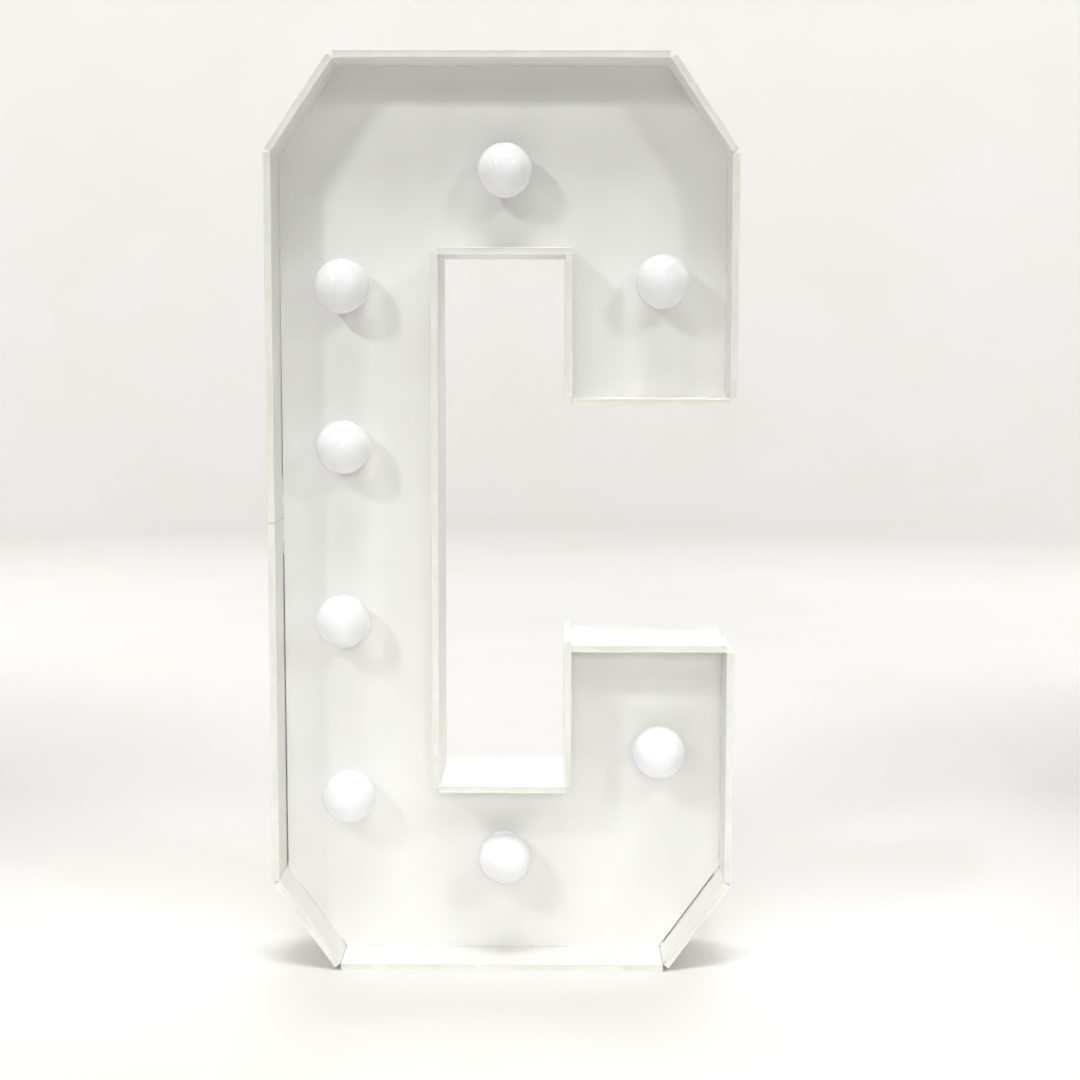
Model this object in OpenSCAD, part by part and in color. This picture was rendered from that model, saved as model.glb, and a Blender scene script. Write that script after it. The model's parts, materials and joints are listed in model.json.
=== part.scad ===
// Free-standing block letter C that lights up: a recessed board face inside deep board sides,
// with screw-in globe lamps in front and their holders, wiring and switch box in the open back.
// Millimetres, +Z up, the front faces -Y, origin under the middle of the letter's foot.

/* [Letter] */
// Height over the top and bottom sides
letter_h = 762; // [680:1:860]
// Width over the left and right sides
letter_w = 386; // [370:1:440]
// Depth from the front edge to the back edge of the sides
letter_d = 112; // [104:1:150]
// Width of the upright stroke, over both of its sides
stem_w = 141; // [130:1:155]
// Width of the two arms, over both of their sides
arm_w = 141; // [130:1:155]
// Height of the top stroke, over both of its sides
top_bar_h = 163; // [145:1:175]
// Height of the bottom stroke, over both of its sides
bottom_bar_h = 159; // [150:1:170]
// Reach of the upper arm, down from the letter's top
upper_arm_h = 285.5; // [260:0.5:310]
// Reach of the lower arm, up from the letter's foot
lower_arm_h = 278.5; // [260:0.5:310]
// Width of each cut corner, measured on the face panel
corner_cut_w = 51; // [35:1:65]
// Height of the cut corners at the top, measured on the face panel
top_cut_h = 75; // [55:1:95]
// Height of the cut corners at the foot, measured on the face panel
bottom_cut_h = 71; // [55:1:90]

/* [Board] */
// Thickness of the side strips
board_t = 6; // [4:0.5:8]
// Thickness of the face panel
face_t = 6; // [4:0.5:8]
// Depth of the face panel behind the front edge
panel_recess = 48; // [46:1:60]
// Gap between the face panel and the left side, at its lower end
left_gap = 1.5; // [0.5:0.1:3]
// Gap between the face panel and the lower right corner strip
corner_gap = 1.2; // [0.5:0.1:3]
// How far a strip laps past its neighbour at an inside corner
corner_lap = 2; // [0.5:0.5:3.5]
// How far the lower arm's inner strip stands above the arm's end strip
arm_overrun = 3; // [0:0.5:6]
// Height of the butt seam in the left side
seam_rise = 379; // [300:1:450]
// Width of that seam
seam_gap = 0.4; // [0.2:0.1:1]
// Length of the splice plate behind the seam
splice_len = 58; // [40:1:80]
// Thickness of the splice plate
splice_t = 5; // [3:0.5:8]
// Depth of the splice plate, back from the face panel
splice_d = 50; // [35:1:52]

/* [Lamp places] */
// First two stem lamps, in from the left side
stem_lamp_in = 60.5; // [45:0.5:75]
// Third stem lamp, in from the left side
third_stem_lamp_in = 59; // [45:0.5:75]
// Lowest stem lamp, in from the left side
low_stem_lamp_in = 63; // [45:0.5:75]
// First stem lamp, down from the top
stem_lamp_1_drop = 188; // [175:1:215]
// Second stem lamp, down from the top
stem_lamp_2_drop = 321; // [295:1:345]
// Third stem lamp, up from the foot
stem_lamp_3_rise = 294; // [265:1:315]
// Fourth stem lamp, up from the foot
stem_lamp_4_rise = 144; // [138:1:170]
// Arm lamps, in from the right side
arm_lamp_in = 60.5; // [45:0.5:75]
// Upper arm lamp, down from the top
upper_arm_lamp_drop = 184; // [160:1:215]
// Lower arm lamp, up from the foot
lower_arm_lamp_rise = 183; // [170:1:215]
// Top and bottom lamps, to the right of the middle
bar_lamp_off = 2; // [-15:0.5:15]
// Top lamp, down from the top
top_lamp_drop = 93.5; // [70:0.5:105]
// Bottom lamp, up from the foot
bottom_lamp_rise = 91.5; // [85:0.5:105]

/* [Lamp] */
// Diameter of the opal globe
globe_d = 45; // [40:0.5:50]
// Wall of the globe
globe_wall = 1.2; // [0.8:0.1:2]
// Globe centre in front of the face panel
globe_standoff = 23; // [22:0.5:30]
// Diameter of the globe's open mouth
globe_mouth_d = 30; // [26:0.5:34]
// Straight rim of the lamp body, under the globe
body_rim = 2; // [1:0.5:3]
// Diameter of the lamp body's narrow end
body_end_d = 18; // [16:0.5:20]
// How far the lamp body reaches behind the face panel
body_seat = 2; // [1:0.5:4]
// Diameter of the light source's plate inside the globe
source_d = 20; // [14:1:23]
// Height of that plate
source_h = 3; // [1:0.5:5]
// Outer diameter of the screw cap
cap_d = 13.9; // [12:0.1:15]
// Length of the screw cap's shell
cap_len = 18; // [14:0.5:22]
// Length of the insulator and contact beyond the shell
tip_len = 4; // [3:0.5:6]
// Diameter of the end contact
contact_d = 4.8; // [3:0.2:6]

/* [Lampholder] */
// Diameter of the holder's barrel
holder_d = 27; // [26:0.5:32]
// Thickness of the holder's fixing ears
ear_t = 2.5; // [2:0.5:4]
// Width of a fixing ear
ear_w = 10; // [9:0.5:13]
// Fixing screws out from the lamp's axis
ear_reach = 18.5; // [18:0.5:23]
// Solid base of the holder behind the cap
holder_base = 12; // [8:0.5:14]
// Bevel round the holder's closed end
holder_bevel = 3; // [1:0.5:5]
// Depth of the groove where the holder's end cap meets its barrel
holder_groove = 0.8; // [0.4:0.1:1.2]
// Gap between the lamp body and what it passes through
neck_clearance = 0.8; // [0.4:0.1:1.5]
// Running clearance of the cap in the holder, on the radius
cap_clearance = 0.05; // [0.02:0.01:0.1]
// Gap under the lamp's end contact
tip_gap = 0.3; // [0.2:0.1:0.6]
// Diameter of the fixing screws
screw_d = 2.8; // [2:0.1:3.5]
// Diameter of their heads
screw_head_d = 5.6; // [4.5:0.1:6.5]
// Height of their heads
screw_head_h = 1.8; // [1:0.1:2.5]
// How much a head narrows to its top, on the radius
screw_head_taper = 0.6; // [0.2:0.1:1.2]
// How deep the screws go into the face panel
screw_bite = 3.2; // [2:0.1:3.6]

/* [Wiring] */
// Diameter of the twin cable
cable_d = 5; // [4:0.5:6]
// How far the cable bows between lamps on the stem
stem_bow = 8; // [4:0.5:12]
// How far it bows to and from the top lamp, and from the stem to the switch box
corner_bow = 6; // [3:0.5:9]
// How far it bows from the switch box to the bottom lamp
foot_bow = 10; // [5:0.5:14]
// How far it bows from the bottom lamp to the lower arm lamp
arm_bow = 12; // [6:0.5:15]
// Width of a cable clip, along the cable
clip_len = 8; // [5:0.5:12]
// Wall of a cable clip
clip_wall = 1.2; // [0.8:0.1:2]
// Length of a clip's foot, out from the cable
clip_foot = 4; // [2:0.5:6]
// Distance between the switch box's two cable ports
port_spread = 42; // [30:1:48]
// Room beside the cable in its port, on each side
port_play = 3.5; // [1:0.5:5]
// How far a cable reaches into the switch box, past the wall
port_in = 5; // [3:0.5:8]

/* [Switch box] */
// Middle of the box, left of the letter's middle
box_left = 68; // [60:1:80]
// Middle of the box above the foot
box_rise = 40; // [34:1:46]
// Width of the box
box_w = 84; // [78:1:90]
// Height of the box
box_h = 46; // [40:1:50]
// Depth of the box, without its lid
box_d = 30; // [26:1:36]
// Wall of the box
box_wall = 2; // [1.5:0.1:3]
// Thickness of the lid
lid_t = 2; // [1.5:0.1:3]
// Depth of the lid's inner lip
lid_lip = 4; // [2:0.5:6]
// Gap between the lip and the box
lid_clearance = 0.15; // [0.1:0.05:0.3]
// Switch, left of the middle of the box
switch_left = 18; // [12:1:24]
// Width of the switch's cut-out in the lid
switch_w = 13; // [12.5:0.1:15]
// Height of the switch's cut-out in the lid
switch_h = 19.4; // [18.5:0.1:22]
// Depth of the switch behind the lid's face
switch_d = 14; // [10:0.5:18]
// Rim of the switch over its cut-out
bezel_rim = 1.2; // [0.8:0.1:2]
// Thickness of that rim
bezel_t = 2; // [1.5:0.1:2.6]
// Width of the rocker
rocker_w = 10; // [8:0.1:10.3]
// Length of the rocker across its tips
rocker_len = 16.4; // [14:0.1:16.8]
// Height of the rocker's tips above its pivot
rocker_rise = 4.6; // [4:0.1:5.4]
// How far the rocker's middle dips below its tips
rocker_dip = 1.8; // [0.8:0.1:2.4]
// Depth of the rocker below its pivot
rocker_keel = 3; // [2:0.1:3.5]
// Depth of the pivot below the rim's face
pivot_depth = 2.8; // [2.2:0.1:3.4]
// Diameter of the pivot pins
pivot_d = 2.4; // [1.6:0.1:2.8]
// Tilt of the rocker to each side of level
rocker_tilt = 9; // [6:0.5:12]
// Gap round the rocker
rocker_gap = 0.3; // [0.2:0.05:0.5]
// Width of the supply inlet's rim
inlet_w = 14; // [12:0.5:16]
// Height of the supply inlet's rim
inlet_h = 22; // [20:0.5:26]
// Thickness of that rim
inlet_rim = 1.8; // [1:0.1:3]
// Depth of the supply inlet behind the wall
inlet_d = 14; // [10:0.5:18]
// Spacing of the inlet's pins
pin_pitch = 8.6; // [8:0.1:9.5]
// Diameter of the inlet's pins
pin_d = 2.4; // [2:0.1:3]
// Diameter of each lobe of the inlet's recess
lobe_d = 7.2; // [6.5:0.1:8]
// Depth of the inlet's recess
recess_d = 9; // [7:0.5:10]
// Width of that recess between its lobes
recess_waist = 5.8; // [5:0.1:6.4]
// How far the pins stop below the recess's mouth
pin_shy = 1.2; // [0.5:0.1:2]

/* [Hidden] */
$fn = 64;
// Overlap of a cutting tool past the face that it cuts
cut = 1;
// Clearance of pieces that sit in a cut-out or a pilot hole
snug = 0.05;
// Clearance of the cable in its clips and its box
cable_gap = 0.25;
// Clearance of the cable in a holder's notch
notch_gap = 0.5;
half_w = letter_w / 2;
front_z = letter_d / 2;
face_z = front_z - panel_recess;
back_z = face_z - face_t;
face_back_y = -back_z;

// Corners of the face panel, clockwise from the left end of the top, seen from the front.
left_x = board_t - half_w;
right_x = half_w - board_t;
top_y = letter_h - board_t;
foot_y = board_t;
stem_x = stem_w - half_w - board_t;
arm_x = half_w - arm_w + board_t;
counter_top_y = letter_h - top_bar_h + board_t;
counter_foot_y = bottom_bar_h - board_t;
upper_end_y = letter_h - upper_arm_h + board_t;
lower_end_y = lower_arm_h - board_t;
corners = [
    [left_x + corner_cut_w, top_y],
    [right_x - corner_cut_w, top_y],
    [right_x, top_y - top_cut_h],
    [right_x, upper_end_y],
    [arm_x, upper_end_y],
    [arm_x, counter_top_y],
    [stem_x, counter_top_y],
    [stem_x, counter_foot_y],
    [arm_x, counter_foot_y],
    [arm_x, lower_end_y],
    [right_x, lower_end_y],
    [right_x, foot_y + bottom_cut_h],
    [right_x - corner_cut_w, foot_y],
    [left_x + corner_cut_w, foot_y],
    [left_x, foot_y + bottom_cut_h],
    [left_x, top_y - top_cut_h],
];
seam = [left_x, seam_rise];

// The panel is cut a little small along the lower right corner and the lower end of the left side.
cut_len = norm([corner_cut_w, bottom_cut_h]);
face_outline = [
    for (i = [0 : len(corners) - 1])
        i == 11 ? corners[i] + [0, corner_gap * cut_len / corner_cut_w]
        : i == 12 ? corners[i] - [corner_gap * cut_len / bottom_cut_h, 0]
        : i == 14 ? corners[i] + [left_gap, -left_gap * bottom_cut_h / corner_cut_w]
        : corners[i]
];

// Lamp centres, along the stroke from the upper arm to the lower arm.
lamps = [
    [half_w - arm_lamp_in, letter_h - upper_arm_lamp_drop],
    [bar_lamp_off, letter_h - top_lamp_drop],
    [stem_lamp_in - half_w, letter_h - stem_lamp_1_drop],
    [stem_lamp_in - half_w, letter_h - stem_lamp_2_drop],
    [third_stem_lamp_in - half_w, stem_lamp_3_rise],
    [low_stem_lamp_in - half_w, stem_lamp_4_rise],
    [bar_lamp_off, bottom_lamp_rise],
    [half_w - arm_lamp_in, lower_arm_lamp_rise],
];
lamp_count = len(lamps);
lamp_numbers = [1 : lamp_count];
// Direction of each holder's ears, turned clear of its cables.
ear_angles = [60, 90, 150, 0, 0, 0, 90, 120];

// Heights along a lamp's axis, forward from the panel's front face.
globe_r = globe_d / 2;
mouth_r = globe_mouth_d / 2;
mouth_z = globe_standoff - sqrt(globe_r * globe_r - mouth_r * mouth_r);
body_end_r = body_end_d / 2;
body_end_z = -face_t - body_seat;
taper_z = mouth_z - body_rim;
cap_r = cap_d / 2;
cap_end_z = body_end_z - cap_len;
tip_z = cap_end_z - tip_len;
contact_r = contact_d / 2;
// Radius of the lamp body's tapered neck at height z.
function neck_r(z) = body_end_r + (mouth_r - body_end_r) * (z - body_end_z) / (taper_z - body_end_z);
lamp_hole_r = neck_r(0) + neck_clearance;

// Heights of the holder on the same axis.
holder_r = holder_d / 2;
holder_mouth_r = neck_r(-face_t) + neck_clearance;
holder_mouth_z = body_end_z - neck_clearance;
holder_floor_z = tip_z - tip_gap;
holder_end_z = holder_floor_z - holder_base;
entry_r = (holder_r + holder_mouth_r) / 2;
entry_mid = (holder_r + entry_r) / 2;
ear_face_z = -face_t - ear_t;
screw_r = screw_d / 2;
screw_head_r = screw_head_d / 2;

// Cable runs on the back of the panel: from, to, and how far the run bows to its left.
cable_r = cable_d / 2;
cable_z = back_z - cable_r - snug;
port_w = cable_d + 2 * port_play;
box_x = -box_left;
box_top_y = box_rise + box_h / 2;
port_y = box_top_y - box_wall - port_in;
ports = [[box_x - port_spread / 2, port_y], [box_x + port_spread / 2, port_y]];
runs = [
    [lamps[0], lamps[1], corner_bow],
    [lamps[1], lamps[2], corner_bow],
    [lamps[2], lamps[3], stem_bow],
    [lamps[3], lamps[4], -stem_bow],
    [lamps[4], lamps[5], stem_bow],
    [lamps[5], ports[0], corner_bow],
    [ports[1], lamps[6], foot_bow],
    [lamps[6], lamps[7], -arm_bow],
];
// The lamp at each end of a run, or -1 where the run ends in the switch box.
run_lamps = [[0, 1], [1, 2], [2, 3], [3, 4], [4, 5], [5, -1], [-1, 6], [6, 7]];
// Places of the clips along a run, as shares of its length.
clip_shares = [0.3, 0.7];
lone_clip_share = [0.5];

// The arc of a run: its radius, centre, first angle and whole angle.
function run_chord(run) = norm(run[1] - run[0]);
function run_radius(run) = (pow(run_chord(run), 2) / 4 + run[2] * run[2]) / (2 * abs(run[2]));
function run_left(run) = [run[0][1] - run[1][1], run[1][0] - run[0][0]] / run_chord(run) * sign(run[2]);
function run_centre(run) = (run[0] + run[1]) / 2 - run_left(run) * (run_radius(run) - abs(run[2]));
function run_sweep(run) = 2 * asin(run_chord(run) / (2 * run_radius(run)));
function run_start(run) = atan2(run_left(run)[1], run_left(run)[0]) - run_sweep(run) / 2;
// Direction from the lamp at one end of a run to the point where its arc crosses the holder's wall.
function run_heading(run, end) =
    let (chord = run[1] - run[0])
    let (turn = run_sweep(run) / 2 - asin(entry_mid / (2 * run_radius(run))))
    let (half = sign(run[2]) * turn)
    atan2(chord[1], chord[0]) + (end == 0 ? half : 180 - half);
// Directions in which the cables leave one lamp's holder.
function entry_angles(lamp) = [
    for (i = [0 : len(runs) - 1])
        for (end = [0, 1])
            if (run_lamps[i][end] == lamp) run_heading(runs[i], end)
];

// The switch and the inlet on their box.
lid_y = face_back_y + box_d;
lid_face_y = lid_y + lid_t;
switch_x = box_x - switch_left;
pivot_y = lid_face_y + bezel_t - pivot_depth;
rocker_r = rocker_len / 2;
inlet_x = box_x + box_w / 2;
inlet_y = face_back_y + box_d / 2;

numbered = ["lamp_globe_", "lamp_body_", "lamp_cap_", "lampholder_"];

// Turns a drawing of the front, x across and y up, into place: its z then points forward.
module on_front() {
    rotate([90, 0, 0])
        children();
}

// A frame on a lamp's axis, with z forward from the front of the face panel.
module at_lamp(lamp) {
    on_front()
        translate([lamps[lamp][0], lamps[lamp][1], face_z])
            children();
}

// The two screw places on a holder's ears.
module at_ear_screws(lamp) {
    for (side = [0, 180])
        rotate([0, 0, ear_angles[lamp] + side])
            translate([ear_reach, 0, 0])
                children();
}

// A square-cut strip along one edge of the panel, outside it, longer at each end by its lap.
module strip(from, to, from_lap = 0, to_lap = 0) {
    run = to - from;
    color("ivory")
        on_front()
            translate([from[0], from[1], -front_z])
                rotate([0, 0, atan2(run[1], run[0])])
                    translate([-from_lap, 0, 0])
                        cube([norm(run) + from_lap + to_lap, board_t, letter_d]);
}

module top_wall() {
    strip(corners[0], corners[1]);
}

module top_right_wall() {
    strip(corners[1], corners[2]);
}

module right_upper_wall() {
    strip(corners[2], corners[3]);
}

module upper_arm_end_wall() {
    strip(corners[3], corners[4]);
}

module upper_arm_inner_wall() {
    strip(corners[4], corners[5], 0, -board_t);
}

module counter_top_wall() {
    strip(corners[5], corners[6], 0, -board_t);
}

module stem_inner_wall() {
    strip(corners[6], corners[7], corner_lap - board_t, corner_lap - board_t);
}

module counter_bottom_wall() {
    strip(corners[7], corners[8], -board_t, corner_lap - board_t);
}

module lower_arm_inner_wall() {
    strip(corners[8], corners[9], -board_t, board_t + arm_overrun);
}

module lower_arm_end_wall() {
    strip(corners[9], corners[10]);
}

module right_lower_wall() {
    strip(corners[10], corners[11]);
}

module bottom_right_wall() {
    strip(corners[11], corners[12]);
}

module bottom_wall() {
    strip(corners[12], corners[13]);
}

module bottom_left_wall() {
    strip(corners[13], corners[14]);
}

module left_lower_wall() {
    strip(corners[14], seam, 0, -seam_gap / 2);
}

module left_upper_wall() {
    strip(seam, corners[15], -seam_gap / 2, 0);
}

module top_left_wall() {
    strip(corners[15], corners[0]);
}

// Plate glued across the seam, inside the left side and behind the panel.
module wall_splice() {
    color("white")
        translate([left_x, face_back_y, seam_rise - splice_len / 2])
            cube([splice_t, splice_d, splice_len]);
}

// The recessed face, with a hole for each lamp's neck and blind pilots for the holders' screws.
module face_panel() {
    color("white")
        difference() {
            on_front()
                translate([0, 0, back_z])
                    linear_extrude(face_t)
                        polygon(face_outline);
            for (lamp = [0 : lamp_count - 1])
                at_lamp(lamp) {
                    translate([0, 0, -face_t - cut])
                        cylinder(h = face_t + 2 * cut, r = lamp_hole_r);
                    translate([0, 0, -face_t - cut])
                        at_ear_screws(lamp)
                            cylinder(h = screw_bite + snug + cut, r = screw_r + snug);
                }
        }
}

// Hollow opal globe, open at its mouth.
module lamp_globe(lamp) {
    color("white")
        at_lamp(lamp)
            difference() {
                translate([0, 0, globe_standoff])
                    sphere(globe_r);
                translate([0, 0, globe_standoff])
                    sphere(globe_r - globe_wall);
                translate([0, 0, mouth_z - globe_d])
                    cylinder(h = globe_d, r = globe_d);
            }
}

// Tapered lamp body through the panel, with the light source's plate standing in the globe.
module lamp_body(lamp) {
    color("whitesmoke")
        at_lamp(lamp)
            rotate_extrude()
                polygon([
                    [0, body_end_z],
                    [body_end_r, body_end_z],
                    [mouth_r, taper_z],
                    [mouth_r, mouth_z],
                    [source_d / 2, mouth_z],
                    [source_d / 2, mouth_z + source_h],
                    [0, mouth_z + source_h],
                ]);
}

// Screw cap with its insulator and end contact.
module lamp_cap(lamp) {
    color("silver")
        at_lamp(lamp)
            rotate_extrude()
                polygon([
                    [0, body_end_z],
                    [cap_r, body_end_z],
                    [cap_r, cap_end_z],
                    [contact_r, cap_end_z - tip_len / 2],
                    [contact_r, tip_z],
                    [0, tip_z],
                ]);
}

// Half section of a holder's barrel: stepped socket, closed end with a bevel, groove under its end cap.
module holder_section() {
    groove_z = holder_floor_z;
    polygon([
        [holder_mouth_r, -face_t],
        [holder_r, -face_t],
        [holder_r, groove_z + holder_groove],
        [holder_r - holder_groove, groove_z],
        [holder_r, groove_z - holder_groove],
        [holder_r, holder_end_z + holder_bevel],
        [holder_r - holder_bevel, holder_end_z],
        [0, holder_end_z],
        [0, holder_floor_z],
        [cap_r + cap_clearance, holder_floor_z],
        [cap_r + cap_clearance, holder_mouth_z],
        [holder_mouth_r, holder_mouth_z],
    ]);
}

// Screw socket behind the panel, on two ears, notched where its cables come in.
module lampholder(lamp) {
    entry_w = cable_d + 2 * notch_gap;
    color("whitesmoke")
        at_lamp(lamp)
            difference() {
                union() {
                    rotate_extrude()
                        holder_section();
                    translate([0, 0, ear_face_z])
                        linear_extrude(ear_t)
                            difference() {
                                union() {
                                    rotate(ear_angles[lamp])
                                        square([2 * ear_reach, ear_w], center = true);
                                    at_ear_screws(lamp)
                                        circle(d = ear_w);
                                }
                                circle(r = (holder_mouth_r + holder_r) / 2);
                            }
                }
                translate([0, 0, ear_face_z - cut])
                    at_ear_screws(lamp)
                        cylinder(h = ear_t + 2 * cut, r = screw_r + snug);
                for (angle = entry_angles(lamp))
                    rotate([0, 0, angle])
                        translate([entry_r, -entry_w / 2, -face_t - entry_w - snug])
                            cube([holder_r, entry_w, entry_w + snug + cut]);
            }
}

// Pan-head screws that hold the holders' ears to the panel.
module lampholder_screws() {
    color("silver")
        for (lamp = [0 : lamp_count - 1])
            at_lamp(lamp)
                at_ear_screws(lamp) {
                    translate([0, 0, ear_face_z])
                        cylinder(h = ear_t + screw_bite, r = screw_r);
                    translate([0, 0, ear_face_z - screw_head_h])
                        cylinder(h = screw_head_h, r1 = screw_head_r - screw_head_taper, r2 = screw_head_r);
                }
}

// One bowed run of cable, lying on the back of the panel.
module cable_run(run) {
    translate([run_centre(run)[0], run_centre(run)[1], cable_z])
        rotate([0, 0, run_start(run)])
            rotate_extrude(angle = run_sweep(run))
                translate([run_radius(run), 0])
                    circle(r = cable_r);
}

// Cable from holder to holder and to the switch box, cut to length inside each holder's notch.
module wiring_loom() {
    color("white")
        on_front()
            difference() {
                for (run = runs)
                    cable_run(run);
                for (lamp = lamps)
                    translate([lamp[0], lamp[1], cable_z - cable_d])
                        cylinder(h = 2 * cable_d, r = entry_r + notch_gap);
            }
}

// Saddle clip, drawn with the cable along x and its feet on the panel's back.
module saddle_clip() {
    hold_r = cable_r + cable_gap;
    outer_r = hold_r + clip_wall;
    translate([-clip_len / 2, 0, 0])
        rotate([90, 0, 90])
            linear_extrude(clip_len)
                difference() {
                    union() {
                        translate([0, -cable_r - snug])
                            circle(r = outer_r);
                        translate([-outer_r, -cable_r - snug])
                            square([2 * outer_r, cable_r + snug]);
                        translate([-outer_r - clip_foot, -clip_wall])
                            square([2 * (outer_r + clip_foot), clip_wall]);
                    }
                    translate([0, -cable_r - snug])
                        circle(r = hold_r);
                    translate([-hold_r, -cable_r - snug])
                        square([2 * hold_r, cable_d]);
                    translate([-2 * outer_r, 0])
                        square([4 * outer_r, 2 * outer_r]);
                }
}

// Clips over the runs between holders, and one over each run to the switch box.
module cable_clips() {
    color("white")
        on_front()
            for (i = [0 : len(runs) - 1])
                for (share = min(run_lamps[i]) < 0 ? lone_clip_share : clip_shares)
                    translate([run_centre(runs[i])[0], run_centre(runs[i])[1], back_z])
                        rotate([0, 0, run_start(runs[i]) + share * run_sweep(runs[i])])
                            translate([run_radius(runs[i]), 0, 0])
                                rotate([0, 0, 90])
                                    saddle_clip();
}

// A block centred across the switch box, set in from its outside all round.
module box_block(inset, from_y, to_y) {
    translate([box_x - box_w / 2 + inset, from_y, box_rise - box_h / 2 + inset])
        cube([box_w - 2 * inset, to_y - from_y, box_h - 2 * inset]);
}

// Tray on the back of the panel, with cable ports at the top and a cut-out for the inlet.
module switch_box() {
    color("whitesmoke")
        difference() {
            box_block(0, face_back_y, lid_y);
            box_block(box_wall, face_back_y + box_wall, lid_y + cut);
            for (port = ports)
                translate([port[0] - port_w / 2, face_back_y - cut, port_y - cable_d])
                    cube([port_w, cable_d + cut + 2 * cable_gap, box_h / 2]);
            translate([inlet_x - box_wall - cut, 0, 0])
                inlet_block(snug, box_wall + 2 * cut);
        }
}

// Lid with an inner lip, cut out for the switch.
module switch_box_lid() {
    lip_inset = box_wall + lid_clearance;
    color("whitesmoke")
        difference() {
            union() {
                box_block(0, lid_y, lid_face_y);
                difference() {
                    box_block(lip_inset, lid_y - lid_lip, lid_y + lid_t / 2);
                    box_block(lip_inset + box_wall, lid_y - lid_lip - cut, lid_face_y);
                }
            }
            switch_block(switch_w, switch_h, lid_y - lid_lip - cut, lid_face_y + cut);
        }
}

// A block centred on the switch.
module switch_block(width, height, from_y, to_y) {
    translate([switch_x - width / 2, from_y, box_rise - height / 2])
        cube([width, to_y - from_y, height]);
}

// Body of the rocker switch: a rim on the lid, a well for the rocker and holes for its pivot pins.
module switch_body() {
    rim_w = switch_w + 2 * bezel_rim;
    rim_h = switch_h + 2 * bezel_rim;
    well_w = rocker_w + 2 * rocker_gap;
    well_h = rocker_len + 2 * rocker_gap;
    well_floor_y = pivot_y - rocker_r * sin(rocker_tilt) - rocker_keel - rocker_gap;
    color("dimgray")
        difference() {
            union() {
                switch_block(rim_w, rim_h, lid_face_y, lid_face_y + bezel_t);
                switch_block(switch_w - 2 * snug, switch_h - 2 * snug, lid_face_y - switch_d, lid_face_y);
            }
            switch_block(well_w, well_h, well_floor_y, lid_face_y + bezel_t + cut);
            translate([switch_x - switch_w, pivot_y, box_rise])
                rotate([0, 90, 0])
                    cylinder(h = 2 * switch_w, d = pivot_d + 2 * snug);
        }
}

// Rocker, dipped in the middle with round ends, tipped to off, on two pivot pins.
module rocker() {
    pin_len = switch_w - 4 * snug;
    color("black")
        translate([switch_x, pivot_y, box_rise])
            rotate([rocker_tilt, 0, 0]) {
                rotate([0, -90, 0])
                    linear_extrude(rocker_w, center = true)
                        intersection() {
                            circle(r = rocker_r);
                            polygon([
                                [-rocker_r, -rocker_keel],
                                [-rocker_r, rocker_rise],
                                [0, rocker_rise - rocker_dip],
                                [rocker_r, rocker_rise],
                                [rocker_r, -rocker_keel],
                            ]);
                        }
                translate([-pin_len / 2, 0, 0])
                    rotate([0, 90, 0])
                        cylinder(h = pin_len, d = pivot_d);
            }
}

// A block on the inlet's axis, as large as its body and a gap all round.
module inlet_block(gap, length) {
    width = lobe_d + 2 * inlet_rim + 2 * gap;
    height = pin_pitch + lobe_d + inlet_rim + 2 * gap;
    translate([0, inlet_y - width / 2, box_rise - height / 2])
        cube([length, width, height]);
}

// Two-pin supply inlet in the end of the box, with a figure-of-eight recess.
module supply_inlet() {
    color("black")
        difference() {
            union() {
                translate([inlet_x, inlet_y - inlet_w / 2, box_rise - inlet_h / 2])
                    cube([inlet_rim, inlet_w, inlet_h]);
                translate([inlet_x - inlet_d, 0, 0])
                    inlet_block(0, inlet_d);
            }
            translate([inlet_x + inlet_rim - recess_d, inlet_y, box_rise])
                rotate([0, 90, 0])
                    linear_extrude(recess_d + cut) {
                        for (side = [-1, 1])
                            translate([side * pin_pitch / 2, 0])
                                circle(d = lobe_d);
                        square([pin_pitch, recess_waist], center = true);
                    }
        }
}

// Round pins that stand on the floor of the inlet's recess.
module inlet_pins() {
    color("silver")
        for (side = [-1, 1])
            translate([inlet_x + inlet_rim - recess_d, inlet_y, box_rise + side * pin_pitch / 2])
                rotate([0, 90, 0])
                    cylinder(h = recess_d - pin_shy, d = pin_d);
}

face_panel();
top_wall();
top_right_wall();
right_upper_wall();
upper_arm_end_wall();
upper_arm_inner_wall();
counter_top_wall();
stem_inner_wall();
counter_bottom_wall();
lower_arm_inner_wall();
lower_arm_end_wall();
right_lower_wall();
bottom_right_wall();
bottom_wall();
bottom_left_wall();
left_lower_wall();
left_upper_wall();
top_left_wall();
wall_splice();
lampholder_screws();
wiring_loom();
cable_clips();
switch_box();
switch_box_lid();
switch_body();
rocker();
supply_inlet();
inlet_pins();
for (i = lamp_numbers) {
    lamp_globe(i - 1);
    lamp_body(i - 1);
    lamp_cap(i - 1);
    lampholder(i - 1);
}
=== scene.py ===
import json
import math

import bpy
import numpy as np
from mathutils import Matrix, Vector


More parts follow.
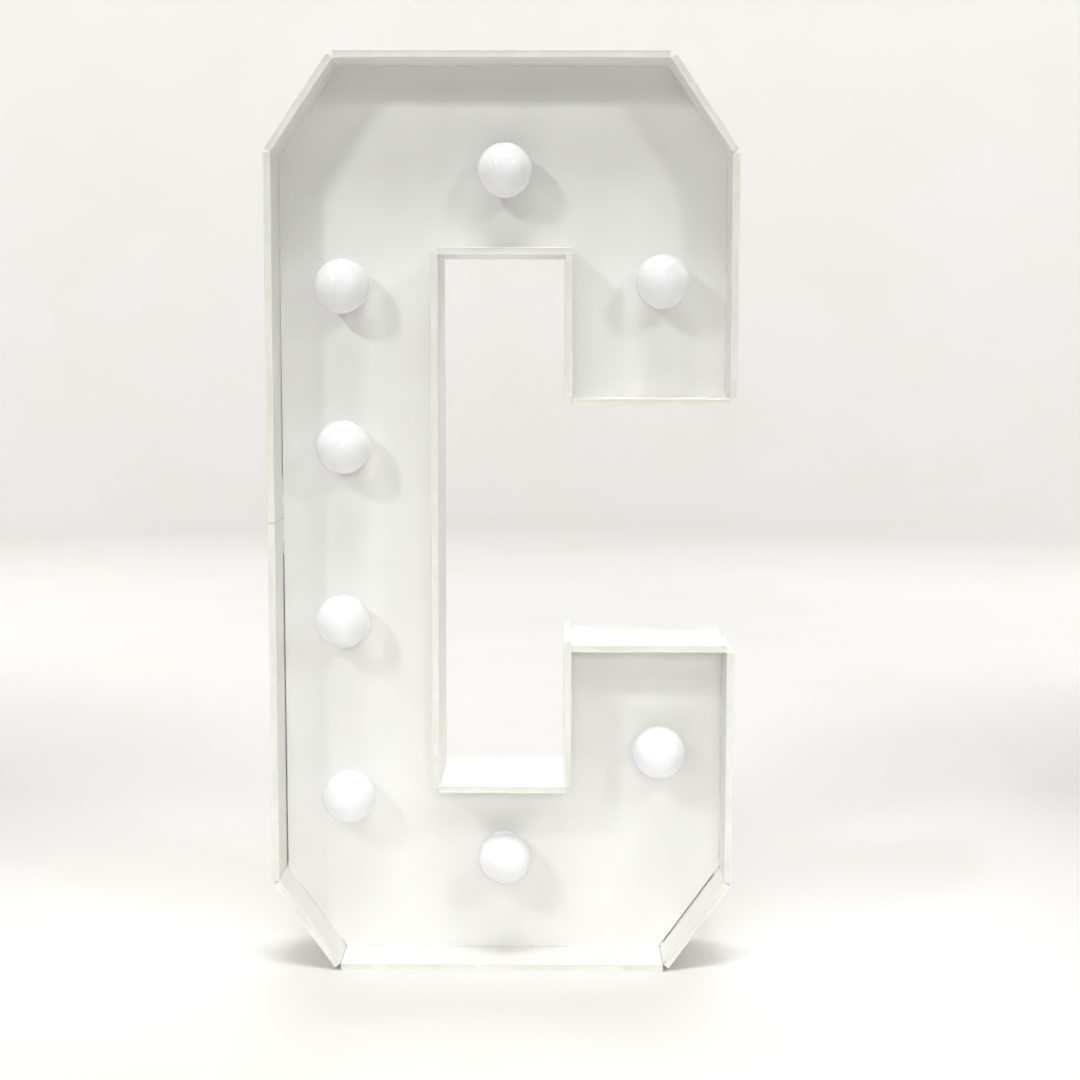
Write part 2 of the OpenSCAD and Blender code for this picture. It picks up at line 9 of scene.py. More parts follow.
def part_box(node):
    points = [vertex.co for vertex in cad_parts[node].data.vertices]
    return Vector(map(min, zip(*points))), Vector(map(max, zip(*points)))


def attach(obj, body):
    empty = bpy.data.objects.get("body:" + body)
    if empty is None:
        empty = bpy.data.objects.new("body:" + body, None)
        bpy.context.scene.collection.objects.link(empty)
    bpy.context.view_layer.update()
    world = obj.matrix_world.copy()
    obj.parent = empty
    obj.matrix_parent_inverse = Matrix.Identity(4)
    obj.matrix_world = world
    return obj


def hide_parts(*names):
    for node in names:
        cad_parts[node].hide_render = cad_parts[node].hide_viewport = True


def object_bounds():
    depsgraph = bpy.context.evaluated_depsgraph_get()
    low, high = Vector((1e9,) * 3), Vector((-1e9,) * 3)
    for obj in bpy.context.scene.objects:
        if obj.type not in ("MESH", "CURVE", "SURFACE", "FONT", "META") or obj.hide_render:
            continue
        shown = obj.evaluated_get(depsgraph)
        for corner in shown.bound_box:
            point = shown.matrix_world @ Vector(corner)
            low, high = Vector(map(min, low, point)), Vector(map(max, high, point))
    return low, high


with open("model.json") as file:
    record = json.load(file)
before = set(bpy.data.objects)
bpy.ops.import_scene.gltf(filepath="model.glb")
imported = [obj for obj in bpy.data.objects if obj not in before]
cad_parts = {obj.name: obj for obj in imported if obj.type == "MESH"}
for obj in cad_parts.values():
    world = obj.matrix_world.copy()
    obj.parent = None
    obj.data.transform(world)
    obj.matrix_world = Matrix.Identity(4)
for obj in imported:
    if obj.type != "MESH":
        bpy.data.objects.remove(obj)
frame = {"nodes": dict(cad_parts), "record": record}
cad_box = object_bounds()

MM = 0.001
BODY = "letter"
LAMPS = range(1, 9)
RIGHT = np.array([1.0, 0.0, 0.0])
BACK = np.array([0.0, 1.0, 0.0])
UP = np.array([0.0, 0.0, 1.0])
# The letter's front and depth, the two faces of its panel, and the thickness of its board
FRONT = cad_box[0].y
DEPTH = cad_box[1].y - cad_box[0].y
PANEL_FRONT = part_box("face_panel")[0].y
PANEL_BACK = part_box("face_panel")[1].y
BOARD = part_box("top_wall")[1].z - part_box("top_wall")[0].z


# Colours and shader nodes

def colour(code):
    """A linear colour from an sRGB hex code: each channel by the sRGB curve, with full alpha."""
    channels = [int(code[i:i + 2], 16) / 255 for i in (1, 3, 5)]
    return tuple(c / 12.92 if c <= 0.04045 else ((c + 0.055) / 1.055) ** 2.4 for c in channels) + (1.0,)


def add(tree, kind, settings=None, inputs=None, links=None):
    """Adds one node, with its own settings, the values of its sockets and what is linked to them."""
    made = tree.nodes.new(kind)
    for key, value in (settings or {}).items():
        setattr(made, key, value)
    for key, value in (inputs or {}).items():
        made.inputs[key].default_value = value
    for key, source in (links or {}).items():
        tree.links.new(source, made.inputs[key])
    return made


def every(size_mm):
    """The scale of a pattern on Object coordinates, in metres, whose features are size_mm apart."""
    return 1.0 / (size_mm * MM)


def new_material(name, **sockets):
    """A material of that name, its node tree and its main shader, whose constant sockets are set."""
    material = bpy.data.materials.new(name)
    material.use_nodes = True
    tree = material.node_tree
    shader = tree.nodes["Principled BSDF"]
    for key, value in sockets.items():
        shader.inputs[key.replace("_", " ")].default_value = value
    return material, tree, shader


def blotches(tree, size_mm, low=0.0, high=1.0, detail=3.0):
    """Soft noise on Object coordinates, its middle values spread from low to high."""
    coords = add(tree, "ShaderNodeTexCoord")
    noise = add(tree, "ShaderNodeTexNoise", inputs={"Scale": every(size_mm), "Detail": detail},
                links={"Vector": coords.outputs["Object"]})
    spread = add(tree, "ShaderNodeMapRange",
                 inputs={"From Min": 0.3, "From Max": 0.7, "To Min": low, "To Max": high},
                 links={"Value": noise.outputs["Fac"]})
    return spread.outputs["Result"]


def dress(tree, shader, tones, share, relief=None, strength=0.0, deep_mm=0.0):
    """Gives a shader its colour, from the first tone to the second as share goes from 0 to 1, and its bump
    from a relief, if it has one, deep_mm deep at full strength."""
    mix = add(tree, "ShaderNodeMix", {"data_type": "RGBA"},
              {"A": colour(tones[0]), "B": colour(tones[1])}, {"Factor": share})
    tree.links.new(mix.outputs["Result"], shader.inputs["Base Color"])
    if relief is not None:
        bump = add(tree, "ShaderNodeBump", inputs={"Strength": strength, "Distance": deep_mm * MM},
                   links={"Height": relief})
        tree.links.new(bump.outputs["Normal"], shader.inputs["Normal"])


# Materials

def foam_pvc_cut_edge():
    """The sawn edge of foam PVC sheet: ivory closed-cell foam, dull and pitted, darker where handled."""
    material, tree, shader = new_material("foam_pvc_cut_edge", IOR=1.45, Roughness=0.82)
    coords = add(tree, "ShaderNodeTexCoord")
    # The cells are about 0.3 mm across, drawn at 1.1 mm so that they show.
    cells = add(tree, "ShaderNodeTexVoronoi", inputs={"Scale": every(1.1)},
                links={"Vector": coords.outputs["Object"]})
    dress(tree, shader, ("#ECEDE3", "#E1E2D6"), blotches(tree, 22),
          relief=cells.outputs["Distance"], strength=0.25, deep_mm=0.12)
    return material


def opal_globe():
    """Opal polycarbonate globe, moulded: glossy milky white. A soft sheen stands for the light that its wall
    scatters out at the rim."""
    material, tree, shader = new_material(
        "opal_polycarbonate", IOR=1.585, Roughness=0.07, Specular_IOR_Level=0.45,
        Sheen_Weight=0.4, Sheen_Roughness=0.3)
    dress(tree, shader, ("#F8F8F9", "#F3F3F5"), blotches(tree, 18, detail=1.0),
          relief=blotches(tree, 9, detail=1.0), strength=0.04, deep_mm=0.05)
    return material


def plastic(name, tones, roughness, grain_mm, grain, ior=1.5, tone_mm=30, gloss_mm=12, deep_mm=0.06):
    """A moulded or extruded plastic: its two tones, the range of its roughness, the size and strength of the
    grain that its tool left, and the size of the patches of tone and of gloss."""
    material, tree, shader = new_material(name, IOR=ior)
    tree.links.new(blotches(tree, gloss_mm, *roughness), shader.inputs["Roughness"])
    dress(tree, shader, tones, blotches(tree, tone_mm),
          relief=blotches(tree, grain_mm, detail=2.0), strength=grain, deep_mm=deep_mm)
    return material


def plated(name, tones, roughness, streak_mm):
    """A plated metal: bright, with fine drawn streaks that stretch along X and blur its gloss."""
    material, tree, shader = new_material(name, Metallic=1.0)
    coords = add(tree, "ShaderNodeTexCoord")
    stretch = add(tree, "ShaderNodeMapping", inputs={"Scale": (0.15, 1.0, 1.0)},
                  links={"Vector": coords.outputs["Object"]})
    streaks = add(tree, "ShaderNodeTexNoise", inputs={"Scale": every(streak_mm), "Detail": 2.0},
                  links={"Vector": stretch.outputs["Vector"]})
    blur = add(tree, "ShaderNodeMapRange", inputs={"To Min": roughness[0], "To Max": roughness[1]},
               links={"Value": streaks.outputs["Fac"]})
    tree.links.new(blur.outputs["Result"], shader.inputs["Roughness"])
    dress(tree, shader, tones, streaks.outputs["Fac"])
    return material


# Extruded foam PVC sheet: a satin white skin, its gloss uneven from handling. The dimples are about 0.6 mm
# apart, drawn at 2.5 mm so that they show.
SKIN = plastic("foam_pvc_skin", ("#F0F0ED", "#EAEAE6"), (0.40, 0.58), grain_mm=2.5, grain=0.10, ior=1.53,
               tone_mm=70, gloss_mm=24, deep_mm=0.05)
CUT_EDGE = foam_pvc_cut_edge()
OPAL = opal_globe()
# Satin white PBT of the lamp's body.
LAMP_WHITE = plastic("white_pbt", ("#EFEFEE", "#E8E8E6"), (0.28, 0.40), grain_mm=0.9, grain=0.08)
# White polyamide of the lampholders and clips: a little duller, slightly warm.
HOLDER_WHITE = plastic("white_polyamide", ("#EAE9E4", "#E0DED7"), (0.38, 0.52), grain_mm=1.0, grain=0.12)
# White ABS of the switch box, with a spark-eroded grain, drawn at 1.4 mm so that it shows.
BOX_WHITE = plastic("white_abs", ("#E6E5E0", "#DCDAD3"), (0.45, 0.60), grain_mm=1.4, grain=0.22)
# Soft PVC sheath of the cable: smooth, slightly waxy.
SHEATH = plastic("white_pvc_sheath", ("#EEECE6", "#E4E1D8"), (0.34, 0.46), grain_mm=6.0, grain=0.10)
# Black polycarbonate of the switch, the inlet and the lamp cap's insulator: shiny, with a faint grain.
BLACK = plastic("black_polycarbonate", ("#161617", "#1E1E20"), (0.24, 0.38), grain_mm=0.8, grain=0.10)
# Pad-printed white ink of the rocker's two marks: flat and dull.
PRINT = plastic("white_pad_print", ("#E8E8E6", "#DEDEDA"), (0.5, 0.6), grain_mm=1.0, grain=0.05)
# Hot-melt adhesive: a pale, wet-looking bead.
GLUE = plastic("hot_melt_adhesive", ("#F0EFE8", "#E6E4DA"), (0.20, 0.32), grain_mm=5.0, grain=0.30)
# Nickel on the brass of the lamp caps and pins: bright and slightly warm.
NICKEL = plated("nickel_plated_brass", ("#CFCBC2", "#BDB8AE"), (0.18, 0.32), streak_mm=0.8)
# Zinc on the steel of the screws: duller and slightly blue.
ZINC = plated("zinc_plated_steel", ("#C4C6C8", "#AEB1B4"), (0.26, 0.42), streak_mm=0.6)


# Pieces from rings of points

# Distance from a rounded edge to the ring that keeps the flat face beside it flat
SUPPORT = 0.5 * MM
# Radius of the small ring that closes a turned piece on its axis
POLE = 0.05 * MM
RING_STEP = 2.5 * MM
SHARP_EDGE = math.radians(40)
HARMONICS = (1, 2, 3, 5)
# The most of a side that the rounding of its corner may take, and the least radius of an outline's corner
MOST_REACH = 0.45
LEAST_CORNER = 0.1 * MM


def skin_over(rings):
    """Quads from each ring of points to the next, closed round the ring, and a flat face over each end."""
    count, size = rings.shape[:2]
    row, column = np.meshgrid(np.arange(count - 1), np.arange(size), indexing="ij")
    after = (column + 1) % size
    quads = np.stack([row * size + column, row * size + after,
                      (row + 1) * size + after, (row + 1) * size + column], -1)
    ends = [np.arange(size)[::-1], np.arange(size) + (count - 1) * size]
    return quads.reshape(-1, 4), ends


def volume(rings, quads, ends):
    """Six times the volume inside rings and their faces, by the triple products of a fan over each face."""
    flat = rings.reshape(-1, 3) - rings.reshape(-1, 3).mean(0)
    total = 0.0
    for group in (quads, ends[0][None], ends[1][None]):
        for k in range(1, group.shape[1] - 1):
            a, b, c = flat[group[:, 0]], flat[group[:, k]], flat[group[:, k + 1]]
            total += float((a * np.cross(b, c)).sum())
    return total


def smooth_mesh(name, points, faces, materials):
    """A mesh of points and faces, shaded smooth."""
    mesh = bpy.data.meshes.new(name)
    mesh.from_pydata(points.reshape(-1, 3).tolist(), [], faces)
    mesh.polygons.foreach_set("use_smooth", np.ones(len(faces), bool))
    for material in materials:
        mesh.materials.append(material)
    return mesh


def put(name, data):
    """An object in the scene that shows a mesh, a light or a camera."""
    made = bpy.data.objects.new(name, data)
    bpy.context.scene.collection.objects.link(made)
    return made


def make(name, stacks, materials, body, replaced=()):
    """One piece from stacks of rings, on a body. A stack is its rings, in the first material, or a tuple of
    its rings, the material number of each of its quads, and that of its two ends. Faces are turned outwards,
    and shading is smooth but for sharp edges."""
    points, faces, paints = [], [], []
    first = 0
    for stack in stacks:
        rings, paint, end_paint = stack if isinstance(stack, tuple) else (stack, 0, 0)
        quads, ends = skin_over(rings)
        if volume(rings, quads, ends) < 0:
            quads, ends = quads[:, ::-1], [end[::-1] for end in ends]
        points.append(rings.reshape(-1, 3))
        faces += (quads + first).tolist() + [(end + first).tolist() for end in ends]
        paints.append(np.broadcast_to(paint, (len(rings) - 1, rings.shape[1])).ravel())
        paints.append(np.full(2, end_paint))
        first += len(points[-1])
    mesh = smooth_mesh(name, np.concatenate(points), faces, materials)
    mesh.polygons.foreach_set("material_index", np.concatenate(paints).astype(np.int32))
    mesh.set_sharp_from_angle(angle=SHARP_EDGE)
    mesh.update()
    made = put(name, mesh)
    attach(made, body)
    if replaced:
        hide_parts(*replaced)


def seed_of(name):
    """A whole number from the letters of a name."""
    return sum(map(ord, name))


def waver(places, length_mm, seed):
    """A smooth value from 0 to 1 along places, in metres: sines of falling length and size, whose phases are
    drawn from the seed."""
    draw = np.random.default_rng(seed)
    waves = []
    for k in HARMONICS:
        phase = draw.uniform(0, 2 * np.pi)
        waves.append(np.sin(2 * np.pi * places / (length_mm * MM / k) + phase) / k)
    return 0.5 + 0.5 * sum(waves) / sum(1 / k for k in HARMONICS)


def ring_count(length, least):
    """How many rings a length takes at the usual step."""
    return max(least, int(length / RING_STEP))


def full_turn(count):
    """Angles at even steps once round."""
    return np.linspace(0, 2 * np.pi, count, endpoint=False)


def quarter_turn(count):
    """Angles at even steps from 0 to a right angle."""
    return np.linspace(0, np.pi / 2, count)


def on_circle(turn):
    """Points of the unit circle at each turn."""
    return np.stack([np.cos(turn), np.sin(turn)], 1)


def round_axis(radius, height, turn):
    """Rings round the Z axis: a point at each turn, whose radius and height may change along and round."""
    height = np.broadcast_to(height, np.broadcast(radius, turn).shape)
    return np.stack([radius * np.cos(turn), radius * np.sin(turn), height], -1)


def revolve(profile, turns=96):
    """Rings round the Z axis: a profile of radius and height, turned in equal steps."""
    return round_axis(profile[:, :1], profile[:, 1:], full_turn(turns))


def on_axis(rings, axis, depth):
    """Local points put on a lamp's axis: local x to the right, y up, and z forward from the depth."""
    return axis + depth * BACK + rings[..., :1] * RIGHT + rings[..., 1:2] * UP - rings[..., 2:] * BACK


def rounded(corners, radius, steps=5):
    """A line of points with each inner corner rounded: from a reach before it to a reach after it, blended as
    a quadratic curve through the corner."""
    corners = np.asarray(corners, float)
    out = [corners[0]]
    share = np.linspace(0, 1, steps)[:, None]
    for before, corner, after in zip(corners[:-2], corners[1:-1], corners[2:]):
        start, stop = [corner + side / np.linalg.norm(side) * min(radius, MOST_REACH * np.linalg.norm(side))
                       for side in (before - corner, after - corner)]
        out += list((1 - share) ** 2 * start + 2 * share * (1 - share) * corner + share ** 2 * stop)
    return np.array(out + [corners[-1]])


def rounded_rectangle(half_width, half_height, radius, corner_steps=6, side_steps=6):
    """Outline of a rectangle with round corners: a quarter circle at each corner in turn, and even steps
    along the side to the next."""
    arcs = []
    for quarter, (side, rise) in enumerate(((1, 1), (-1, 1), (-1, -1), (1, -1))):
        angle = quarter_turn(corner_steps) + quarter * np.pi / 2
        centre = np.array([side * (half_width - radius), rise * (half_height - radius)])
        arcs.append(centre + radius * on_circle(angle))
    share = np.linspace(0, 1, side_steps + 2)[1:-1, None]
    sides = [(1 - share) * arcs[k][-1] + share * arcs[(k + 1) % 4][0] for k in range(4)]
    return np.concatenate([part for pair in zip(arcs, sides) for part in pair])


def block_edge(length, radius, steps=4):
    """Inset and height of a block's outline from its near face to its far face: a quarter circle over each
    edge, and a ring a little way in on each flat face that keeps it flat."""
    near = radius * (1 - on_circle(quarter_turn(steps))[:, ::-1])
    near = np.concatenate([[[radius + SUPPORT, 0.0]], near])
    return np.concatenate([near, np.stack([near[::-1, 0], length - near[::-1, 1]], 1)])


def lofted(outlines, heights, origin, right=RIGHT, up=UP, out=BACK):
    """Rings from flat outlines, each at its height along out, with its two coordinates along right and up."""
    heights = np.asarray(heights)[:, None, None]
    return origin + outlines[..., :1] * right + outlines[..., 1:] * up + heights * out


def rounded_block(low, high, corner, edge):
    """Rings of a block between two points: a round-cornered rectangle carried back, drawn in over its edges
    by block_edge."""
    origin = np.array([(low.x + high.x) / 2, low.y, (low.z + high.z) / 2])
    profile = block_edge(high.y - low.y, edge)
    outlines = [rounded_rectangle((high.x - low.x) / 2 - inset, (high.z - low.z) / 2 - inset,
                                  max(corner - inset, LEAST_CORNER)) for inset, height in profile]
    return lofted(np.stack(outlines), profile[:, 1], origin)


def tube(path, radius, sides):
    """Rings along a path across Y: circles square to its tangent, whose radius may change along and round."""
    tangent = np.gradient(path, axis=0)
    tangent /= np.linalg.norm(tangent, axis=1, keepdims=True)
    turn = full_turn(sides)[:, None]
    around = np.cos(turn) * np.cross(tangent, BACK)[:, None] + np.sin(turn) * BACK
    return path[:, None] + np.asarray(radius)[..., None] * around


# Foam-board strips

# Radius of the arrises, thickness of the hard skins, and the hollow of the foam between them with its ramps
ARRIS = 0.45 * MM
SKIN_T = 0.9 * MM
HOLLOW = 0.16 * MM
HOLLOW_RAMP = 0.25 * MM
# How far a sawn edge wavers, and the length of its waves in millimetres
EDGE_WAVER = 0.22 * MM
EDGE_WAVE_MM = 160
# Length and depth of a nick, as shares of its size
NICK_LENGTH = 1.2
NICK_DEPTH = 0.6
SPLICE_EDGE = 0.4 * MM


def board_section():
    """Section of a strip, across its thickness and back from its front edge: rounded arrises, and each cut
    edge hollowed between the skins. Half is drawn, and the other half is that half turned about the middle.
    With it goes which of its points are foam and not skin."""
    arc = ARRIS - ARRIS * on_circle(quarter_turn(4))
    core = np.linspace(SKIN_T + HOLLOW_RAMP, BOARD - SKIN_T - HOLLOW_RAMP, 5)
    edge = [[SKIN_T, 0.0]] + [[across, HOLLOW] for across in core] + [[BOARD - SKIN_T, 0.0]]
    far_arc = np.stack([BOARD - arc[::-1, 0], arc[::-1, 1]], 1)
    side = [[BOARD, ARRIS + SUPPORT], [BOARD, DEPTH / 2], [BOARD, DEPTH - ARRIS - SUPPORT]]
    half = np.concatenate([arc, edge, far_arc, side])
    is_core = np.zeros(len(half), bool)
    is_core[len(arc):len(arc) + len(core) + 1] = True
    section = np.concatenate([half, [BOARD, DEPTH] - half])
    return section, np.concatenate([is_core, is_core])


def board_strip(name, start, along, outward, length, nicks):
    """A strip of board: its section carried along it, drawn in at both square ends by block_edge. The cut
    edges waver, and a nick pulls the outer front arris in by a bell curve."""
    section, is_core = board_section()
    near, far = np.split(block_edge(length, ARRIS), 2)
    middle = np.linspace(ARRIS + SUPPORT, length - ARRIS - SUPPORT, ring_count(length, 3))
    places = np.concatenate([near[:, 1], middle, far[:, 1]])
    inset = np.concatenate([near[:, 0], np.zeros(len(middle)), far[:, 0]])[:, None]
    across = np.clip(section[:, 0], inset, BOARD - inset)
    deep = np.clip(section[:, 1], inset, DEPTH - inset)
    front_in, back_in = [EDGE_WAVER * waver(places, EDGE_WAVE_MM, seed_of(name) + edge)[:, None]
                         for edge in (0, 1)]
    deep = deep + np.where(section[:, 1] < ARRIS, front_in, 0)
    deep = deep - np.where(section[:, 1] > DEPTH - ARRIS, back_in, 0)
    at_arris = (section[:, 0] > BOARD - SKIN_T) & (section[:, 1] < 2 * ARRIS)
    for share, size in nicks:
        bell = np.exp(-((places - share * length) / (size * NICK_LENGTH)) ** 2)[:, None]
        across = across - np.where(at_arris, size * bell, 0)
        deep = deep + np.where(at_arris, NICK_DEPTH * size * bell, 0)
    rings = start + places[:, None, None] * along + across[..., None] * outward
    rings = rings + (deep + FRONT)[..., None] * BACK
    stack = (rings, is_core.astype(int), 1)
    make("board_" + name, [stack], [SKIN, CUT_EDGE], BODY, [name])


def place(x, z):
    """A point of the letter's outline, as seen from the front."""
    return np.array([x, 0.0, z])


def box_corner(name, x_end, z_end):
    """A corner of a node's box, as seen from the front: each end is 0 for its low side and 1 for its high."""
    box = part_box(name)
    return place(box[x_end].x, box[z_end].z)


# Small dents in the outer front arris: share of the strip's length and size
NICKS = {
    "top_left_wall": [(0.64, 0.8 * MM)],
    "left_upper_wall": [(0.82, 0.9 * MM), (0.31, 0.4 * MM)],
    "bottom_left_wall": [(0.79, 0.8 * MM), (0.35, 0.5 * MM)],
    "bottom_right_wall": [(0.57, 0.9 * MM)],
    "upper_arm_end_wall": [(0.22, 0.7 * MM), (0.28, 0.5 * MM)],
}
STRAIGHT = ("top_wall", "right_upper_wall", "upper_arm_end_wall", "upper_arm_inner_wall", "counter_top_wall",
            "stem_inner_wall", "counter_bottom_wall", "lower_arm_inner_wall", "lower_arm_end_wall",
            "right_lower_wall", "bottom_wall", "left_lower_wall", "left_upper_wall")
FACING_DOWN = ("bottom_wall", "upper_arm_end_wall", "counter_top_wall")
FACING_LEFT = ("left_lower_wall", "left_upper_wall", "upper_arm_inner_wall", "lower_arm_inner_wall")


def straight_strip(name):
    """A level or upright strip, from its node's box: one end of its inner face, its direction, the way out
    from the panel, and its length."""
    low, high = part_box(name)
    size = high - low
    along, outward = (RIGHT, UP) if size.x > size.z else (UP, RIGHT)
    start = place(low.x, low.z)
    if name in FACING_LEFT:
        start, outward = place(high.x, low.z), -RIGHT
    if name in FACING_DOWN:
        start, outward = place(low.x, high.z), -UP
    return start, along, outward, max(size.x, size.z)


def cut_corner(start, stop):
    """The same four values of a strip across a corner, from one straight strip's inner end to the next one's,
    clockwise seen from the front."""
    length = float(np.linalg.norm(stop - start))
    along = (stop - start) / length
    return start, along, np.array([-along[2], 0.0, along[0]]), length


strips = {name: straight_strip(name) for name in STRAIGHT}
strips.update({
    "top_right_wall": cut_corner(box_corner("top_wall", 1, 0), box_corner("right_upper_wall", 0, 1)),
    "bottom_right_wall": cut_corner(box_corner("right_lower_wall", 0, 0), box_corner("bottom_wall", 1, 1)),
    "bottom_left_wall": cut_corner(box_corner("bottom_wall", 0, 1), box_corner("left_lower_wall", 1, 0)),
    "top_left_wall": cut_corner(box_corner("left_upper_wall", 1, 1), box_corner("top_wall", 0, 0)),
})
for name, strip in strips.items():
    board_strip(name, *strip, NICKS.get(name, ()))

splice_low, splice_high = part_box("wall_splice")
splice = rounded_block(splice_low, splice_high, SPLICE_EDGE, SPLICE_EDGE)
make("splice_plate", [(splice, 0, 1)], [SKIN, CUT_EDGE], BODY, ["wall_splice"])


# Glue along the joints of the face panel

# Stretches of each joint that hold a bead in front of the panel, as shares of the strip
FRONT_BEADS = {
    "top_wall": [(0.02, 0.90)],
    "top_left_wall": [(0.04, 0.96)],
    "top_right_wall": [(0.03, 0.62)],
    "right_upper_wall": [(0.02, 0.40), (0.52, 0.97)],
    "upper_arm_end_wall": [(0.0, 0.07), (0.28, 0.72), (0.88, 1.0)],
    "lower_arm_end_wall": [(0.0, 0.45), (0.6, 1.0)],
    "right_lower_wall": [(0.04, 0.95)],
    "bottom_right_wall": [(0.0, 0.10), (0.92, 1.0)],
    "bottom_wall": [(0.01, 0.99)],
    "bottom_left_wall": [(0.02, 0.95)],
    "left_lower_wall": [(0.90, 1.0)],
    "left_upper_wall": [(0.0, 0.12), (0.72, 1.0)],
}
BACK_BEAD = (0.01, 0.99)
FRONT_BEAD_R = 0.75 * MM
BACK_BEAD_R = 1.7 * MM
BEAD_WAVE_MM = 45
# The least and the range of a bead's radius, how far it stands out of the corner and over how much length it
# closes, all as shares of its own radius, and what is left of its section at the very end
BEAD_LEAST = 0.75
BEAD_RANGE = 0.5
BEAD_OUT = 0.35
BEAD_CLOSE = 3
BEAD_TIP = 0.04


def bead(strip, first, last, depth, side, radius):
    """A bead of adhesive along a strip's joint with the panel: a tube whose radius wavers and closes at both
    ends, set a little out of the corner. side is -1 in front of the panel and 1 behind it."""
    start, along, outward, length = strips[strip]
    places = np.linspace(first * length, last * length, ring_count((last - first) * length, 12))
    seed = seed_of(strip) + int(1000 * first) + side
    thick = radius * (BEAD_LEAST + BEAD_RANGE * waver(places, BEAD_WAVE_MM, seed))
    from_end = np.minimum(places - places[0], places[-1] - places)
    opened = np.clip(from_end / (BEAD_CLOSE * radius), 0.0, 1.0)
    thick = thick * np.sqrt(opened * (1 - BEAD_TIP) + BEAD_TIP)
    offset = thick[:, None] * BEAD_OUT * (side * BACK - outward)
    return tube(start + places[:, None] * along + offset + depth * BACK, thick[:, None], 10)


beads = [bead(strip, first, last, PANEL_FRONT, -1, FRONT_BEAD_R)
         for strip, stretches in FRONT_BEADS.items() for first, last in stretches]
for strip, (start, along, outward, length) in strips.items():
    first, last = BACK_BEAD
    if strip == "left_lower_wall":
        last = (splice_low.z - start[2]) / length
    if strip == "left_upper_wall":
        first = (splice_high.z - start[2]) / length
    beads.append(bead(strip, first, last, PANEL_BACK, 1, BACK_BEAD_R))
make("glue_beads", beads, [GLUE], BODY)


# Lamps

GLOBE_WALL = 1.2 * MM
# Angle, in radians, of the small ring that closes a globe at its top
GLOBE_POLE = 0.004
# Radius of a neck's root and of the light source on it, as shares of the cap's radius
NECK_ROOT = 1.28
SOURCE = 1.44
# The step below a globe: how far each of its corners lies in from the globe's mouth and below it
NECK_STEP = ((0.4 * MM, 2.0 * MM), (0.4 * MM, 1.3 * MM), (0.0, 1.1 * MM))
NECK_ROUND = 0.5 * MM
THREAD_PITCH = 2.82 * MM
THREAD_DEPTH = 0.75 * MM
THREAD_ROOM = 0.05 * MM
# A screw cap below its thread: heights above its tip, and radii or insets
SHELL_RISE = 4.0 * MM
SEAT_RISE = 1.6 * MM
SEAT_R = 2.6 * MM
SEAT_INSET = 1.2 * MM
SEAT_DROP = 0.8 * MM
SEAT_ROUND = 0.4 * MM
# Its contact: radius and height above the tip
CONTACT = ((POLE, 1.7 * MM), (2.4 * MM, 1.7 * MM), (2.3 * MM, 0.6 * MM), (1.2 * MM, 0.0), (POLE, 0.0))
CONTACT_ROUND = 0.3 * MM
CAP_TURNS = 48


def globe_profile(radius, mouth):
    """Radius and height of a hollow globe about its centre: the outer arc from the top to the mouth, the lip,
    and the inner arc back to the top."""
    last = math.pi - math.asin(mouth / radius)
    outer = radius * on_circle(np.linspace(GLOBE_POLE, last, 64))
    inner = (radius - GLOBE_WALL) * on_circle(np.linspace(last, GLOBE_POLE, 40))
    return np.concatenate([outer, inner])[:, ::-1]


def neck_profile(cap_r, end, mouth, mouth_height, top):
    """Radius and height of a lamp's body: out over its end to the root, up a taper to the step below the
    globe, in over the mouth, and up the light source to its top."""
    root = [[POLE, end], [NECK_ROOT * cap_r, end]]
    step = [[mouth - inset, mouth_height - drop] for inset, drop in NECK_STEP]
    source = [[SOURCE * cap_r, mouth_height], [SOURCE * cap_r, top], [POLE, top]]
    return rounded(root + step + [[mouth, mouth_height]] + source, NECK_ROUND)


def threaded(radius, top, bottom, turns=96):
    """Rings of a rolled thread: the radius is a wave that climbs one pitch a turn and fades at both ends."""
    height = np.linspace(top, bottom, int((top - bottom) / THREAD_PITCH * 10))[:, None]
    turn = full_turn(turns)
    fade = np.clip(np.minimum(top - height, height - bottom) / THREAD_PITCH, 0, 1)
    wave = 0.5 - 0.5 * np.cos(turn + 2 * np.pi * height / THREAD_PITCH)
    return round_axis(radius - THREAD_DEPTH * (1 - fade * wave), height, turn)


def screw_cap(cap_r, end, tip):
    """Rings of a screw cap's three parts: the threaded shell, the seat that closes it in a flat cone, and the
    domed contact at its tip."""
    shell_end = tip + SHELL_RISE
    seat_end = tip + SEAT_RISE
    seat = [[POLE, shell_end], [cap_r - THREAD_DEPTH, shell_end], [cap_r - SEAT_INSET, shell_end - SEAT_DROP],
            [SEAT_R, seat_end], [POLE, seat_end]]
    contact = [[radius, tip + height] for radius, height in CONTACT]
    return [threaded(cap_r - THREAD_ROOM, end, shell_end),
            revolve(rounded(seat, SEAT_ROUND), CAP_TURNS),
            revolve(rounded(contact, CONTACT_ROUND), CAP_TURNS)]


